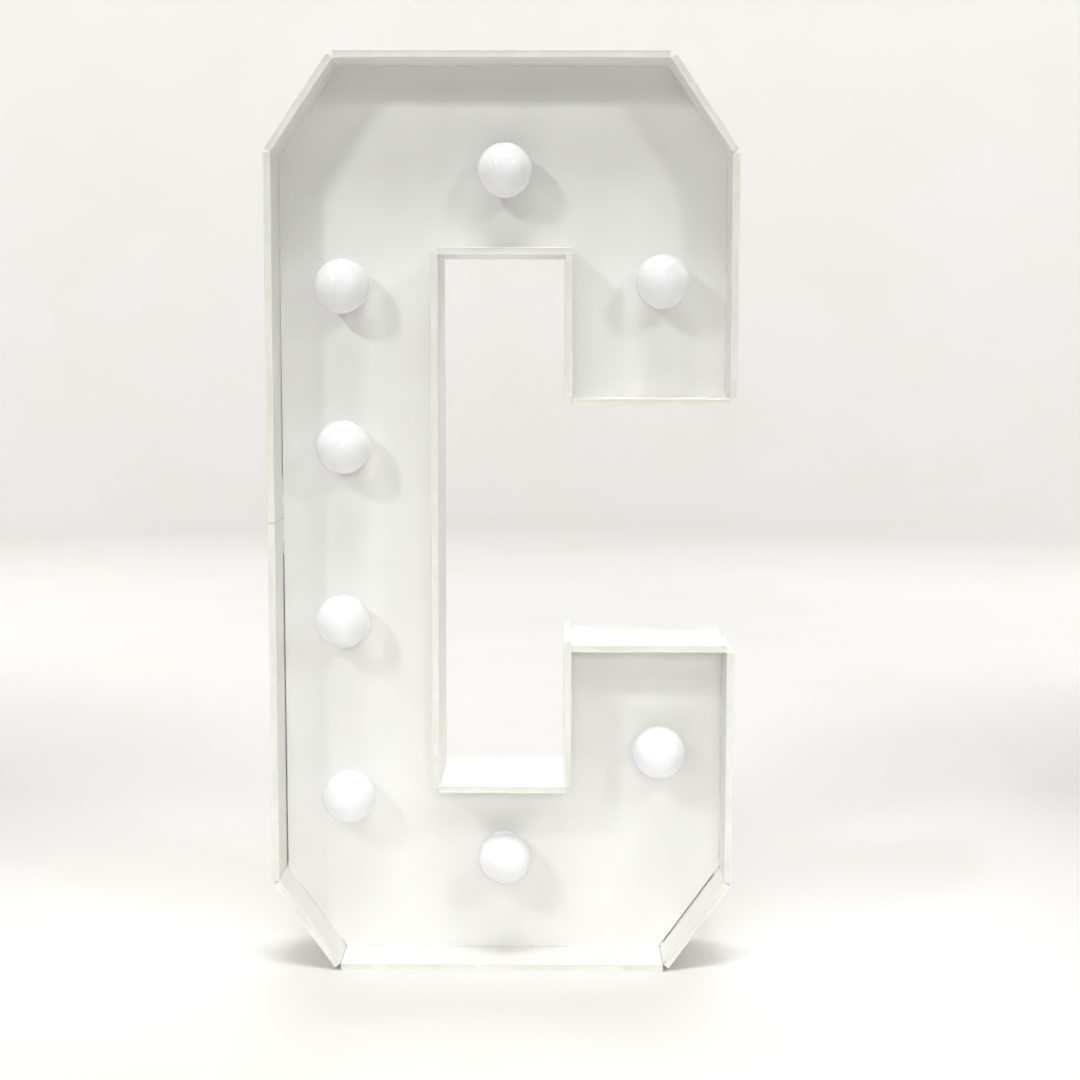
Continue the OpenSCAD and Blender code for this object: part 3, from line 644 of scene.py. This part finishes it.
lamp_axis = {}
for lamp in LAMPS:
    body = f"lamp_{lamp}"
    low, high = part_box(f"lamp_globe_{lamp}")
    axis = place((low.x + high.x) / 2, (low.z + high.z) / 2)
    lamp_axis[lamp] = axis
    radius = (high.x - low.x) / 2
    centre = low.y + radius
    mouth = math.sqrt(radius ** 2 - (high.y - centre) ** 2)
    globe = on_axis(revolve(globe_profile(radius, mouth)), axis, centre)
    make(f"globe_{lamp}", [globe], [OPAL], body, [f"lamp_globe_{lamp}"])

    # Heights from here on are forward from the panel's front face.
    body_low, body_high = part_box(f"lamp_body_{lamp}")
    cap_low, cap_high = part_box(f"lamp_cap_{lamp}")
    cap_r = (cap_high.x - cap_low.x) / 2
    end = PANEL_FRONT - body_high.y
    neck = neck_profile(cap_r, end, mouth, PANEL_FRONT - high.y, PANEL_FRONT - body_low.y)
    neck = on_axis(revolve(neck), axis, PANEL_FRONT)
    make(f"neck_{lamp}", [neck], [LAMP_WHITE], body, [f"lamp_body_{lamp}"])
    shell, seat, contact = [on_axis(rings, axis, PANEL_FRONT)
                            for rings in screw_cap(cap_r, end, PANEL_FRONT - cap_high.y)]
    make(f"screw_cap_{lamp}", [shell, (seat, 1, 1), contact], [NICKEL, BLACK], body,
         [f"lamp_cap_{lamp}"])


# Cable along the back of the panel

CABLE_R = 2.5 * MM
CABLE_ROOM = 0.05 * MM
CABLE_DEPTH = PANEL_BACK + CABLE_R + CABLE_ROOM
# How far from a lamp's axis the cable ends, inside its holder
CABLE_TRIM = 12.4 * MM
CABLE_SIDES = 20
# The length in which the cable's two cores turn once, and the share of its radius by which they swell it
CORE_LAY = 36 * MM
CORE_SWELL = 0.05
PORT_SPREAD = 42 * MM
PORT_DROP = 7 * MM
CLIP_SHARES = (0.3, 0.7)
SHORT_CLIP_SHARES = (0.5,)
CLIP_LEN = 8 * MM
CLIP_WALL = 1.2 * MM
CLIP_FOOT = 4 * MM
CLIP_ROUND = 0.5 * MM
CLIP_BEND = 0.9 * MM
CLIP_ROOM = 0.25 * MM
box_low, box_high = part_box("switch_box")
box_middle = (box_low + box_high) / 2
box_half = (box_high - box_low) / 2
spots = {lamp: axis + CABLE_DEPTH * BACK for lamp, axis in lamp_axis.items()}
for port, side in (("left_port", -1), ("right_port", 1)):
    spots[port] = np.array([box_middle.x + side * PORT_SPREAD / 2, CABLE_DEPTH, box_high.z - PORT_DROP])
# Each run of cable: its two ends, and how far it bows to its left
RUNS = [(1, 2, 6 * MM), (2, 3, 6 * MM), (3, 4, 8 * MM), (4, 5, -8 * MM), (5, 6, 8 * MM),
        (6, "left_port", 6 * MM), ("right_port", 7, 10 * MM), (7, 8, -12 * MM)]


def bowed(start, stop, bow, shares):
    """Points at shares of a circular arc from start to stop that bows to its left, and its directions there:
    the arc's angle goes evenly from minus to plus its half angle."""
    chord = float(np.linalg.norm(stop - start))
    ahead = (stop - start) / chord
    left = np.sign(bow) * np.array([-ahead[2], 0.0, ahead[0]])
    radius = (chord ** 2 / 4 + bow ** 2) / (2 * abs(bow))
    angle = math.asin(chord / 2 / radius) * (2 * np.asarray(shares)[:, None] - 1)
    points = (start + stop) / 2 + radius * np.sin(angle) * ahead
    points = points + (radius * np.cos(angle) - radius + abs(bow)) * left
    return points, np.cos(angle) * ahead - np.sin(angle) * left


def cable_run(first, last, bow):
    """A round sheath along its arc, cut short inside each holder. Its radius swells twice round where the two
    laid cores press on it, and that swelling turns once every lay."""
    start, stop = spots[first], spots[last]
    length = float(np.linalg.norm(stop - start))
    cut = [CABLE_TRIM / length if end in LAMPS else 0.0 for end in (first, last)]
    path, heading = bowed(start, stop, bow, np.linspace(cut[0], 1 - cut[1], ring_count(length, 12)))
    turn = full_turn(CABLE_SIDES)
    run = np.linspace(0, length, len(path))[:, None]
    swell = 0.5 + 0.5 * np.cos(2 * (turn - 2 * np.pi * run / CORE_LAY))
    return tube(path, CABLE_R * (1 - CORE_SWELL + CORE_SWELL * swell), CABLE_SIDES)


def saddle(point, heading):
    """A saddle clip over the cable: the middle line of its strap, from foot to foot over an arch, thickened
    to both sides, carried along the cable, and thinned by a quarter circle at both ends."""
    arch_r = CABLE_R + CLIP_ROOM + CLIP_WALL / 2
    rise = CABLE_DEPTH - PANEL_BACK
    foot_end = arch_r + CLIP_WALL / 2 + CLIP_FOOT
    foot = rounded([[-foot_end, CLIP_WALL / 2], [-arch_r, CLIP_WALL / 2], [-arch_r, rise]], CLIP_BEND)
    arch = [0.0, rise] + arch_r * on_circle(np.linspace(np.pi, 0, 24)[1:-1])
    line = np.concatenate([foot, arch, foot[::-1] * [-1, 1]])
    slope = np.gradient(line, axis=0)
    normal = np.stack([-slope[:, 1], slope[:, 0]], 1) / np.linalg.norm(slope, axis=1, keepdims=True)
    angle = quarter_turn(4)
    end = CLIP_LEN / 2 - CLIP_ROUND + CLIP_ROUND * np.sin(angle)
    along = np.concatenate([-end[::-1], end])
    half = CLIP_WALL / 2 - CLIP_ROUND * (1 - np.cos(angle))
    half = np.concatenate([half[::-1], half])[:, None, None]
    section = np.concatenate([line + half * normal, (line - half * normal)[:, ::-1]], 1)
    base = np.array([point[0], PANEL_BACK, point[2]])
    across = np.cross(heading, BACK)
    return base + along[:, None, None] * heading + section[..., :1] * across + section[..., 1:] * BACK


make("cable_sheath", [cable_run(*run) for run in RUNS], [SHEATH], BODY, ["wiring_loom"])
clips = []
for first, last, bow in RUNS:
    held = CLIP_SHARES if first in LAMPS and last in LAMPS else SHORT_CLIP_SHARES
    clips += [saddle(point, heading) for point, heading in zip(*bowed(spots[first], spots[last], bow, held))]
make("saddle_clips", clips, [HOLDER_WHITE], BODY, ["cable_clips"])


# Lampholders and their screws

# The ears of the fourth holder lie level, so its box is as high as its barrel is wide.
HOLDER_R = (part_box("lampholder_4")[1].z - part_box("lampholder_4")[0].z) / 2
# Height of the panel's back face, where a holder starts. Heights are forward from the panel's front face.
HOLDER_BASE = PANEL_FRONT - PANEL_BACK
HOLDER_EDGE = 0.3 * MM
HOLDER_TURNS = 224
BORE_R = 7.0 * MM
HOLDER_MOUTH_R = 10.5 * MM
HOLDER_MOUTH_DEPTH = 2.8 * MM
# The skirt round the base, and the arches in it that let the cables in
SKIRT = 6.6 * MM
NOTCH_R = 12.1 * MM
NOTCH_LIP = 0.1 * MM
NOTCH_HALF = 3.0 * MM
NOTCH_RISE = 5.7 * MM
# The ribs: how steep their sides are, the power of their fading at both ends, and how far they stay from the
# skirt and from the joint with the end cap
RIB_COUNT = 32
RIB_DEPTH = 0.5 * MM
RIB_STEEP = 1.2
RIB_FADE = 0.4
RIB_FROM_SKIRT = 1.0 * MM
RIB_FROM_JOINT = 1.6 * MM
# The end cap: its height, the depth and height of its joint groove's corners, its bevel and its dished end
END_CAP = 12 * MM
GROOVE = ((0.0, 0.9 * MM), (0.8 * MM, 0.1 * MM), (0.0, -0.8 * MM))
END_BEVEL = 3.0 * MM
END_ROUND = 0.5 * MM
DISH_R = 5.5 * MM
DISH_FLOOR_R = 5.0 * MM
DISH_DEPTH = 0.8 * MM
EAR_REACH = 18.5 * MM
EAR_HALF = 5.0 * MM
EAR_ROOT = 11.5 * MM
EAR_T = 2.5 * MM
EAR_EDGE = 0.5 * MM
# Which way each holder's ears point, in degrees from the right
EAR_TURNS = {1: 60, 2: 90, 3: 150, 4: 0, 5: 0, 6: 0, 7: 90, 8: 120}
SCREW_HEAD_R = 2.8 * MM
SCREW_HEAD_H = 1.8 * MM
SCREW_WALL = 0.9 * MM
CROWN_R = 1.9 * MM
CROWN_ROUND = 0.8 * MM
CROWN_FLAT_R = 1.7 * MM
# The cross: half width and reach of its slots, each with the length of its slope, and its depth
SLOT_HALF = 0.55 * MM
SLOT_SLOPE = 0.2 * MM
SLOT_REACH = 1.75 * MM
SLOT_RUN_OUT = 0.5 * MM
SLOT_DEPTH = 1.0 * MM


def entry_angles(lamp):
    """Directions in which cables go into a lamp's holder: from its axis to each cable's cut end."""
    angles = []
    for first, last, bow in RUNS:
        if lamp in (first, last):
            length = float(np.linalg.norm(spots[last] - spots[first]))
            share = CABLE_TRIM / length if lamp == first else 1 - CABLE_TRIM / length
            reach = bowed(spots[first], spots[last], bow, (share,))[0][0] - spots[lamp]
            angles.append(math.atan2(reach[2], reach[0]))
    return angles


def notch_rise(turn, entries):
    """Height of the arch over each cable round the holder's skirt: a squared-off half ellipse about the
    direction of its entry."""
    off = (turn - np.array(entries)[:, None] + np.pi) % (2 * np.pi) - np.pi
    arches = np.clip(1 - (off * HOLDER_R / NOTCH_HALF) ** 4, 0, 1) ** 0.25
    return NOTCH_RISE * arches.max(0)


def holder_wall(first, last, count):
    """Radius and height of even points on the outside of a holder's barrel."""
    return np.stack([np.full(count, HOLDER_R), np.linspace(first, last, count)], 1)


def barrel(end, entries):
    """A holder's barrel: a section from the bore's floor out over the skirt and back to the closed end,
    turned round the axis. The skirt is lifted by notch_rise, and the wall after it is fluted by a cosine in
    even ribs."""
    base = HOLDER_BASE
    joint = end + END_CAP
    ledge = base - HOLDER_MOUTH_DEPTH
    inside = rounded([[POLE, joint], [BORE_R, joint], [BORE_R, ledge], [HOLDER_MOUTH_R, ledge],
                      [HOLDER_MOUTH_R, base], [NOTCH_R - NOTCH_LIP, base]], HOLDER_EDGE)
    skirt = np.concatenate([[[NOTCH_R, base], [HOLDER_R - HOLDER_EDGE, base]],
                            holder_wall(base, base - SKIRT, 9)])
    skirt[2, 1] -= HOLDER_EDGE
    ribbed = holder_wall(base - SKIRT - RIB_FROM_SKIRT, joint + RIB_FROM_JOINT, 16)
    groove = [[HOLDER_R - depth, joint + height] for depth, height in GROOVE]
    close = rounded(groove + [[HOLDER_R, end + END_BEVEL], [HOLDER_R - END_BEVEL, end], [DISH_R, end],
                              [DISH_FLOOR_R, end + DISH_DEPTH], [POLE, end + DISH_DEPTH]], END_ROUND)
    section = np.concatenate([inside, skirt, ribbed, close])
    lift = np.clip((skirt[:, 1] - base + SKIRT) / SKIRT, 0, 1)
    lift = np.pad(lift, (len(inside), len(ribbed) + len(close)))
    flute = np.sin(np.pi * np.linspace(0, 1, len(ribbed))) ** RIB_FADE
    flute = np.pad(flute, (len(inside) + len(skirt), len(close)))
    turn = full_turn(HOLDER_TURNS)
    ribs = np.clip(0.5 - RIB_STEEP * np.cos(RIB_COUNT * turn), 0, 1)
    wall = section[:, :1] - RIB_DEPTH * flute[:, None] * ribs
    height = section[:, 1:] - lift[:, None] * notch_rise(turn, entries)
    return round_axis(wall, height, turn)


def ear(ahead):
    """A fixing ear that points ahead: a lug with a round end, drawn in over its edges by block_edge."""
    turn = np.linspace(-np.pi / 2, np.pi / 2, 16)
    profile = block_edge(EAR_T, EAR_EDGE)
    outlines = []
    for inset, height in profile:
        half = EAR_HALF - inset
        end = [EAR_REACH, 0.0] + half * on_circle(turn)
        outlines.append(np.concatenate([end, [[EAR_ROOT, half], [EAR_ROOT, -half]]]))
    return lofted(np.stack(outlines), profile[:, 1], HOLDER_BASE * UP, ahead, np.cross(UP, ahead), -UP)


def pan_head(ahead):
    """A pan head on that ear: a domed disc, its middle sunk by a cross whose slots fade away outwards."""
    wall = rounded([[SCREW_HEAD_R, 0.0], [SCREW_HEAD_R, SCREW_WALL], [CROWN_R, SCREW_HEAD_H]], CROWN_ROUND)
    flat = np.stack([np.linspace(CROWN_FLAT_R, POLE, 10), np.full(10, SCREW_HEAD_H)], 1)
    crown = np.concatenate([wall[:-1], flat])
    turn = full_turn(48)
    x, y = crown[:, :1] * np.cos(turn), crown[:, :1] * np.sin(turn)
    across = np.clip((SLOT_HALF - np.minimum(abs(x), abs(y))) / SLOT_SLOPE, 0, 1)
    within = np.clip((SLOT_REACH - crown[:, :1]) / SLOT_RUN_OUT, 0, 1)
    height = crown[:, 1:] - SLOT_DEPTH * (across * within)
    return EAR_REACH * ahead + np.stack([x, y, HOLDER_BASE - EAR_T - height], -1)


screws = []
for lamp in LAMPS:
    end = PANEL_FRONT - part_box(f"lampholder_{lamp}")[1].y
    angle = math.radians(EAR_TURNS[lamp])
    ahead = np.array([math.cos(angle), math.sin(angle), 0.0])
    parts = [on_axis(rings, lamp_axis[lamp], PANEL_FRONT)
             for rings in (barrel(end, entry_angles(lamp)), ear(ahead), ear(-ahead))]
    make(f"holder_{lamp}", parts, [HOLDER_WHITE], BODY, [f"lampholder_{lamp}"])
    screws += [on_axis(pan_head(way), lamp_axis[lamp], PANEL_FRONT) for way in (ahead, -ahead)]
make("pan_head_screws", screws, [ZINC], BODY, ["lampholder_screws"])


# Switch box

BOX_CORNER = 3.0 * MM
BOX_EDGE = 0.8 * MM
BOX_SIDE_STEPS = 120
PORT_HALF = 6.0 * MM
PORT_DEPTH = 5.5 * MM
PORT_SILL = 0.05 * MM
LID_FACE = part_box("switch_box_lid")[1].y


def box_tray():
    """The tray of the switch box: a round-cornered rectangle carried back from the panel, with its top edge
    sunk over each cable port up to the port's height."""
    outline = rounded_rectangle(box_half.x, box_half.z, BOX_CORNER, side_steps=BOX_SIDE_STEPS)
    port = abs(abs(outline[:, 0]) - PORT_SPREAD / 2) < PORT_HALF
    port &= outline[:, 1] > box_half.z - BOX_CORNER / 2
    sunk = outline - np.where(port, PORT_DROP, 0)[:, None] * [0, 1]
    inner = rounded_rectangle(box_half.x - BOX_EDGE, box_half.z - BOX_EDGE, BOX_CORNER,
                              side_steps=BOX_SIDE_STEPS)
    top = box_high.y - box_low.y
    heights = [0.0, PORT_DEPTH, PORT_DEPTH + PORT_SILL, top - BOX_EDGE, top]
    origin = np.array([box_middle.x, box_low.y, box_middle.z])
    return lofted(np.stack([sunk, sunk, outline, outline, inner]), heights, origin)


# The lid as it is seen, without the lip that reaches into the tray
lid_low = Vector((box_low.x, box_high.y, box_low.z))
lid_high = Vector((box_high.x, LID_FACE, box_high.z))
lid = rounded_block(lid_low, lid_high, BOX_CORNER, BOX_EDGE)
make("box_tray", [box_tray()], [BOX_WHITE], BODY, ["switch_box"])
make("box_lid", [lid], [BOX_WHITE], BODY, ["switch_box_lid"])


# Rocker switch

joint_places = {joint["name"]: joint["pos_m"] for joint in frame["record"]["behaviour"]["joints"]}
pivot = np.array(joint_places["rocker_tip"])
ROCKER_HALF = 5.0 * MM
ROCKER_R = 8.2 * MM
ROCKER_RISE = 4.6 * MM
ROCKER_DIP = 1.8 * MM
ROCKER_KEEL = 3.0 * MM
ROCKER_EDGE = 0.7 * MM
ROCKER_TILT = math.radians(9)
ROCKER_GAP = 0.3 * MM
# The printed ring and bar: how far from the rocker's middle, their sizes, and their faces above its top
MARK_PLACE = 4.3 * MM
MARK_HALF = 1.7 * MM
RING_INNER_R = 1.25 * MM
BAR_HALF = 0.24 * MM
BAR_CORNER = 0.1 * MM
MARK_TOP = 0.05 * MM
MARK_FOOT = -0.02 * MM
rim_low, rim_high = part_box("switch_body")
rim_half = (rim_high - rim_low) / 2
well_floor = pivot[1] - ROCKER_R * math.sin(ROCKER_TILT) - ROCKER_KEEL - ROCKER_GAP


def switch_rim():
    """The switch's rim and well: a round-cornered rectangle that rises from the lid, turns over its rim and
    goes down inside to the floor of the well."""
    top = rim_high.y
    # Half width, half height and corner radius of each outline, with how far back it lies
    foot = (rim_half.x, rim_half.z, 1.2 * MM)
    well = (ROCKER_HALF + ROCKER_GAP, ROCKER_R + ROCKER_GAP, 0.5 * MM)
    steps = [(foot, LID_FACE),
             (foot, top - 0.9 * MM),
             ((rim_half.x - 0.15 * MM, rim_half.z - 0.15 * MM, 1.1 * MM), top - 0.35 * MM),
             ((rim_half.x - 0.6 * MM, rim_half.z - 0.6 * MM, 0.9 * MM), top),
             ((ROCKER_HALF + 0.9 * MM, ROCKER_R + 0.9 * MM, 0.8 * MM), top),
             (well, top - 0.5 * MM),
             (well, well_floor)]
    outlines = np.stack([rounded_rectangle(*shape) for shape, height in steps])
    return lofted(outlines, [height for shape, height in steps], place(pivot[0], pivot[2]))


def rocker_top(along):
    """Height of the rocker's top above its pivot: a shallow smooth dip between its two tips."""
    return ROCKER_RISE - ROCKER_DIP * np.cos(np.pi / 2 * np.clip(along / ROCKER_R, -1, 1)) ** 1.2


def tipped(along, rise, across):
    """Points on the rocker in its rest pose: its own up and out turned about the pivot by the tilt."""
    out = rise * math.cos(ROCKER_TILT) - along * math.sin(ROCKER_TILT)
    up = rise * math.sin(ROCKER_TILT) + along * math.cos(ROCKER_TILT)
    return pivot + across[..., None] * RIGHT + up[..., None] * UP + out[..., None] * BACK


def rocker_body():
    """The rocker: its side view, a dipped top and two round ends down to the keel, carried across its width
    and drawn in by a quarter circle at both sides."""
    tip = math.sqrt(ROCKER_R ** 2 - ROCKER_RISE ** 2)
    along = np.linspace(-tip, tip, 40)
    round_end = np.linspace(math.asin(ROCKER_RISE / ROCKER_R), -math.asin(ROCKER_KEEL / ROCKER_R), 14)[1:]
    right_end = ROCKER_R * on_circle(round_end)
    left_end = right_end[::-1] * [-1, 1]
    side = np.concatenate([np.stack([along, rocker_top(along)], 1), right_end, left_end])
    middle = np.array([0.0, 0.5 * (ROCKER_RISE - ROCKER_KEEL)])
    edge = block_edge(2 * ROCKER_HALF, ROCKER_EDGE)
    shrink = 1 - edge[:, 0] / ROCKER_R
    rings = middle + (side - middle) * shrink[:, None, None]
    across = np.broadcast_to((edge[:, 1] - ROCKER_HALF)[:, None], rings.shape[:2])
    return tipped(rings[..., 0], rings[..., 1], across)


def mark(inner, outer, centre):
    """A printed mark: a thin skin between two outlines, laid on the rocker's top about a point along it."""
    lift = np.array([MARK_FOOT, MARK_TOP, MARK_TOP, MARK_FOOT])[:, None]
    rings = np.stack([outer, outer, inner, inner])
    along = rings[..., 1] + centre
    return tipped(along, rocker_top(along) + lift, rings[..., 0])


circle = on_circle(full_turn(40))
bar = rounded_rectangle(BAR_HALF, MARK_HALF, BAR_CORNER)
off_mark = mark(RING_INNER_R * circle, MARK_HALF * circle, MARK_PLACE)
on_mark = mark(bar * 0.5, bar, -MARK_PLACE)
make("switch_rim", [switch_rim()], [BLACK], BODY, ["switch_body"])
make("rocker_cap", [rocker_body()], [BLACK], "rocker", ["rocker"])
make("rocker_marks", [off_mark, on_mark], [PRINT], "rocker")


# Supply inlet

INLET_CORNER = 2.0 * MM
INLET_EDGE = 0.5 * MM
# The face's outline and the recess's flared mouth, as shares of the rim's outline and of the recess's
INLET_FACE = 0.97
FLARE = 1.10
FLARE_DEPTH = 0.4 * MM
RECESS = 9.0 * MM
LOBE_R = 3.6 * MM
WAIST_HALF = 2.9 * MM
PIN_HALF = 4.3 * MM
PIN_R = 1.2 * MM
PIN_POLE = 0.02 * MM
NOT_ZERO = 1e-9
inlet_low, inlet_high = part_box("supply_inlet")
inlet_middle = (inlet_low + inlet_high) / 2
inlet_half = (inlet_high - inlet_low) / 2


def figure_of_eight(angle):
    """Outline of the inlet's recess about its middle: the far side of two circles, one above the other, and
    of the bar that joins them, along each direction."""
    aside, rise = np.cos(angle), np.sin(angle)
    inside = LOBE_R ** 2 - (PIN_HALF * aside) ** 2
    lobe = np.where(inside > 0, abs(PIN_HALF * rise) + np.sqrt(np.clip(inside, 0, None)), 0)
    bar = np.minimum(WAIST_HALF / np.maximum(abs(aside), NOT_ZERO),
                     PIN_HALF / np.maximum(abs(rise), NOT_ZERO))
    reach = np.maximum(lobe, bar)
    return np.stack([reach * aside, reach * rise], 1)


def inlet_shell():
    """The inlet: a round-cornered rim on the end of the box, whose face turns in to the recess."""
    outline = rounded_rectangle(inlet_half.y, inlet_half.z, INLET_CORNER, corner_steps=10, side_steps=14)
    eight = figure_of_eight(np.arctan2(outline[:, 1], outline[:, 0]))
    face = inlet_high.x
    outlines = np.stack([outline, outline, outline * INLET_FACE, eight * FLARE, eight, eight])
    heights = [box_high.x, face - INLET_EDGE, face, face, face - FLARE_DEPTH, face - RECESS]
    return lofted(outlines, heights, np.array([0.0, inlet_middle.y, inlet_middle.z]), BACK, UP, RIGHT)


def contact_pin(side):
    """A round pin in one lobe of the recess: a straight tube closed by a quarter circle at its tip."""
    pin_low, pin_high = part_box("inlet_pins")
    turn = quarter_turn(7)
    along = np.concatenate([[pin_low.x], pin_high.x - PIN_R + PIN_R * np.sin(turn)])
    radius = np.concatenate([[PIN_R], np.maximum(PIN_R * np.cos(turn), PIN_POLE)])
    line = np.array([0.0, inlet_middle.y, inlet_middle.z + side * PIN_HALF])
    return tube(line + along[:, None] * RIGHT, radius[:, None], 24)


make("inlet_shell", [inlet_shell()], [BLACK], BODY, ["supply_inlet"])
make("contact_pins", [contact_pin(side) for side in (-1, 1)], [NICKEL], BODY, ["inlet_pins"])

# The face panel keeps its shape and takes the board's finish
for slot in frame["nodes"]["face_panel"].material_slots:
    slot.material = SKIN


# Studio and camera

SWEEP_FLOOR = 3.6
SWEEP_CURVE = 1.6
SWEEP_WALL = 2.6
SWEEP_POLE = 0.02


def paper_sweep():
    """A round studio floor that curves up into a wall: a flat line, a quarter circle and a straight rise,
    turned round the middle."""
    flat = np.stack([np.linspace(SWEEP_POLE, SWEEP_FLOOR, 16)[:-1], np.zeros(15)], 1)
    curve = [SWEEP_FLOOR, SWEEP_CURVE] + SWEEP_CURVE * on_circle(quarter_turn(24))[:, ::-1] * [1, -1]
    points = revolve(np.concatenate([flat, curve, [[SWEEP_FLOOR + SWEEP_CURVE, SWEEP_WALL]]]))
    quads, ends = skin_over(points)
    faces = quads[:, ::-1].tolist() + [ends[0][::-1].tolist()]
    # Uncoated background paper: matt and almost white, its tone faintly uneven.
    material, tree, shader = new_material("pale_matt_paper", Roughness=0.8, IOR=1.4)
    dress(tree, shader, ("#EFEEEB", "#ECEBE7"), blotches(tree, 400))
    made = put("paper_sweep", smooth_mesh("paper_sweep", points, faces, [material]))


def soft_light(name, stand, target, size, power, spread=180):
    """A rectangular soft light that stands at a point and faces the target: its size is in metres, its power
    in watts, and its beam's spread in degrees."""
    light = bpy.data.lights.new(name, "AREA")
    light.shape = "RECTANGLE"
    light.size = size[0]
    light.size_y = size[1]
    light.energy = power
    light.spread = math.radians(spread)
    facing = (Vector(target) - Vector(stand)).to_track_quat("-Z", "Y").to_matrix().to_4x4()
    put(name, light).matrix_world = Matrix.Translation(stand) @ facing


def sky(strength):
    """Even soft light from all round."""
    world = bpy.data.worlds.new("soft_room_light")
    world.use_nodes = True
    bpy.context.scene.world = world
    background = world.node_tree.nodes["Background"]
    background.inputs["Color"].default_value = colour("#FFFFFF")
    background.inputs["Strength"].default_value = strength


SIDE_REACH = 1.6
SIDE_DEPTH = -1.9
middle = (cad_box[0] + cad_box[1]) / 2
paper_sweep()
sky(strength=0.05)
# Two narrow lights that run in depth, one to each side, so that their shadows stay crisp along a diagonal
for name, side, watts in (("key_light", -1, 23.5), ("fill_light", 1, 15.0)):
    soft_light(name, stand=(side * SIDE_REACH, SIDE_DEPTH, middle.z + SIDE_REACH),
               target=(0.0, SIDE_DEPTH, middle.z), size=(0.45, 0.1), power=watts)
soft_light("front_softbox", stand=(0.0, -2.8, 2.05), target=middle, size=(1.8, 0.25), power=6.5)
# A narrow beam on the foot of the panel
soft_light("low_softbox", stand=(0.1, -2.2, 0.75), target=(0.02, 0.0, 0.04), size=(1.0, 0.4), power=0.56,
           spread=31)
soft_light("top_softbox", stand=(0.0, -0.75, 2.4), target=(0.0, -0.1, 0.0), size=(1.2, 0.5), power=2.8,
           spread=52)
soft_light("rear_softbox", stand=(0.1, 1.5, 2.2), target=middle, size=(3.6, 0.8), power=22.0, spread=105)
# Two lights on the back wall, one to each side
for side in (-1, 1):
    soft_light("wall_light", stand=(side * 1.6, 1.3, 2.0), target=(side * 0.8, 5.2, 1.0), size=(1.2, 0.6),
               power=68.0)

# Camera fitted to the straight edges of the letter in the photograph: angles in degrees, lens in millimetres
CAMERA_PLACE = Vector((0.0432, -1.6607, 0.5408))
CAMERA_PITCH = 6.209
CAMERA_YAW = 0.41
CAMERA_ROLL = -0.109
camera_data = bpy.data.cameras.new("camera")
camera_data.sensor_width = 36.0
camera_data.lens = 65.28
camera = put("camera", camera_data)
camera.matrix_world = (
    Matrix.Translation(CAMERA_PLACE)
    @ Matrix.Rotation(math.radians(CAMERA_YAW), 4, "Z")
    @ Matrix.Rotation(math.radians(90 - CAMERA_PITCH), 4, "X")
    @ Matrix.Rotation(math.radians(-CAMERA_ROLL), 4, "Z")
)
bpy.context.scene.camera = camera
bpy.context.scene.view_settings.view_transform = "Standard"
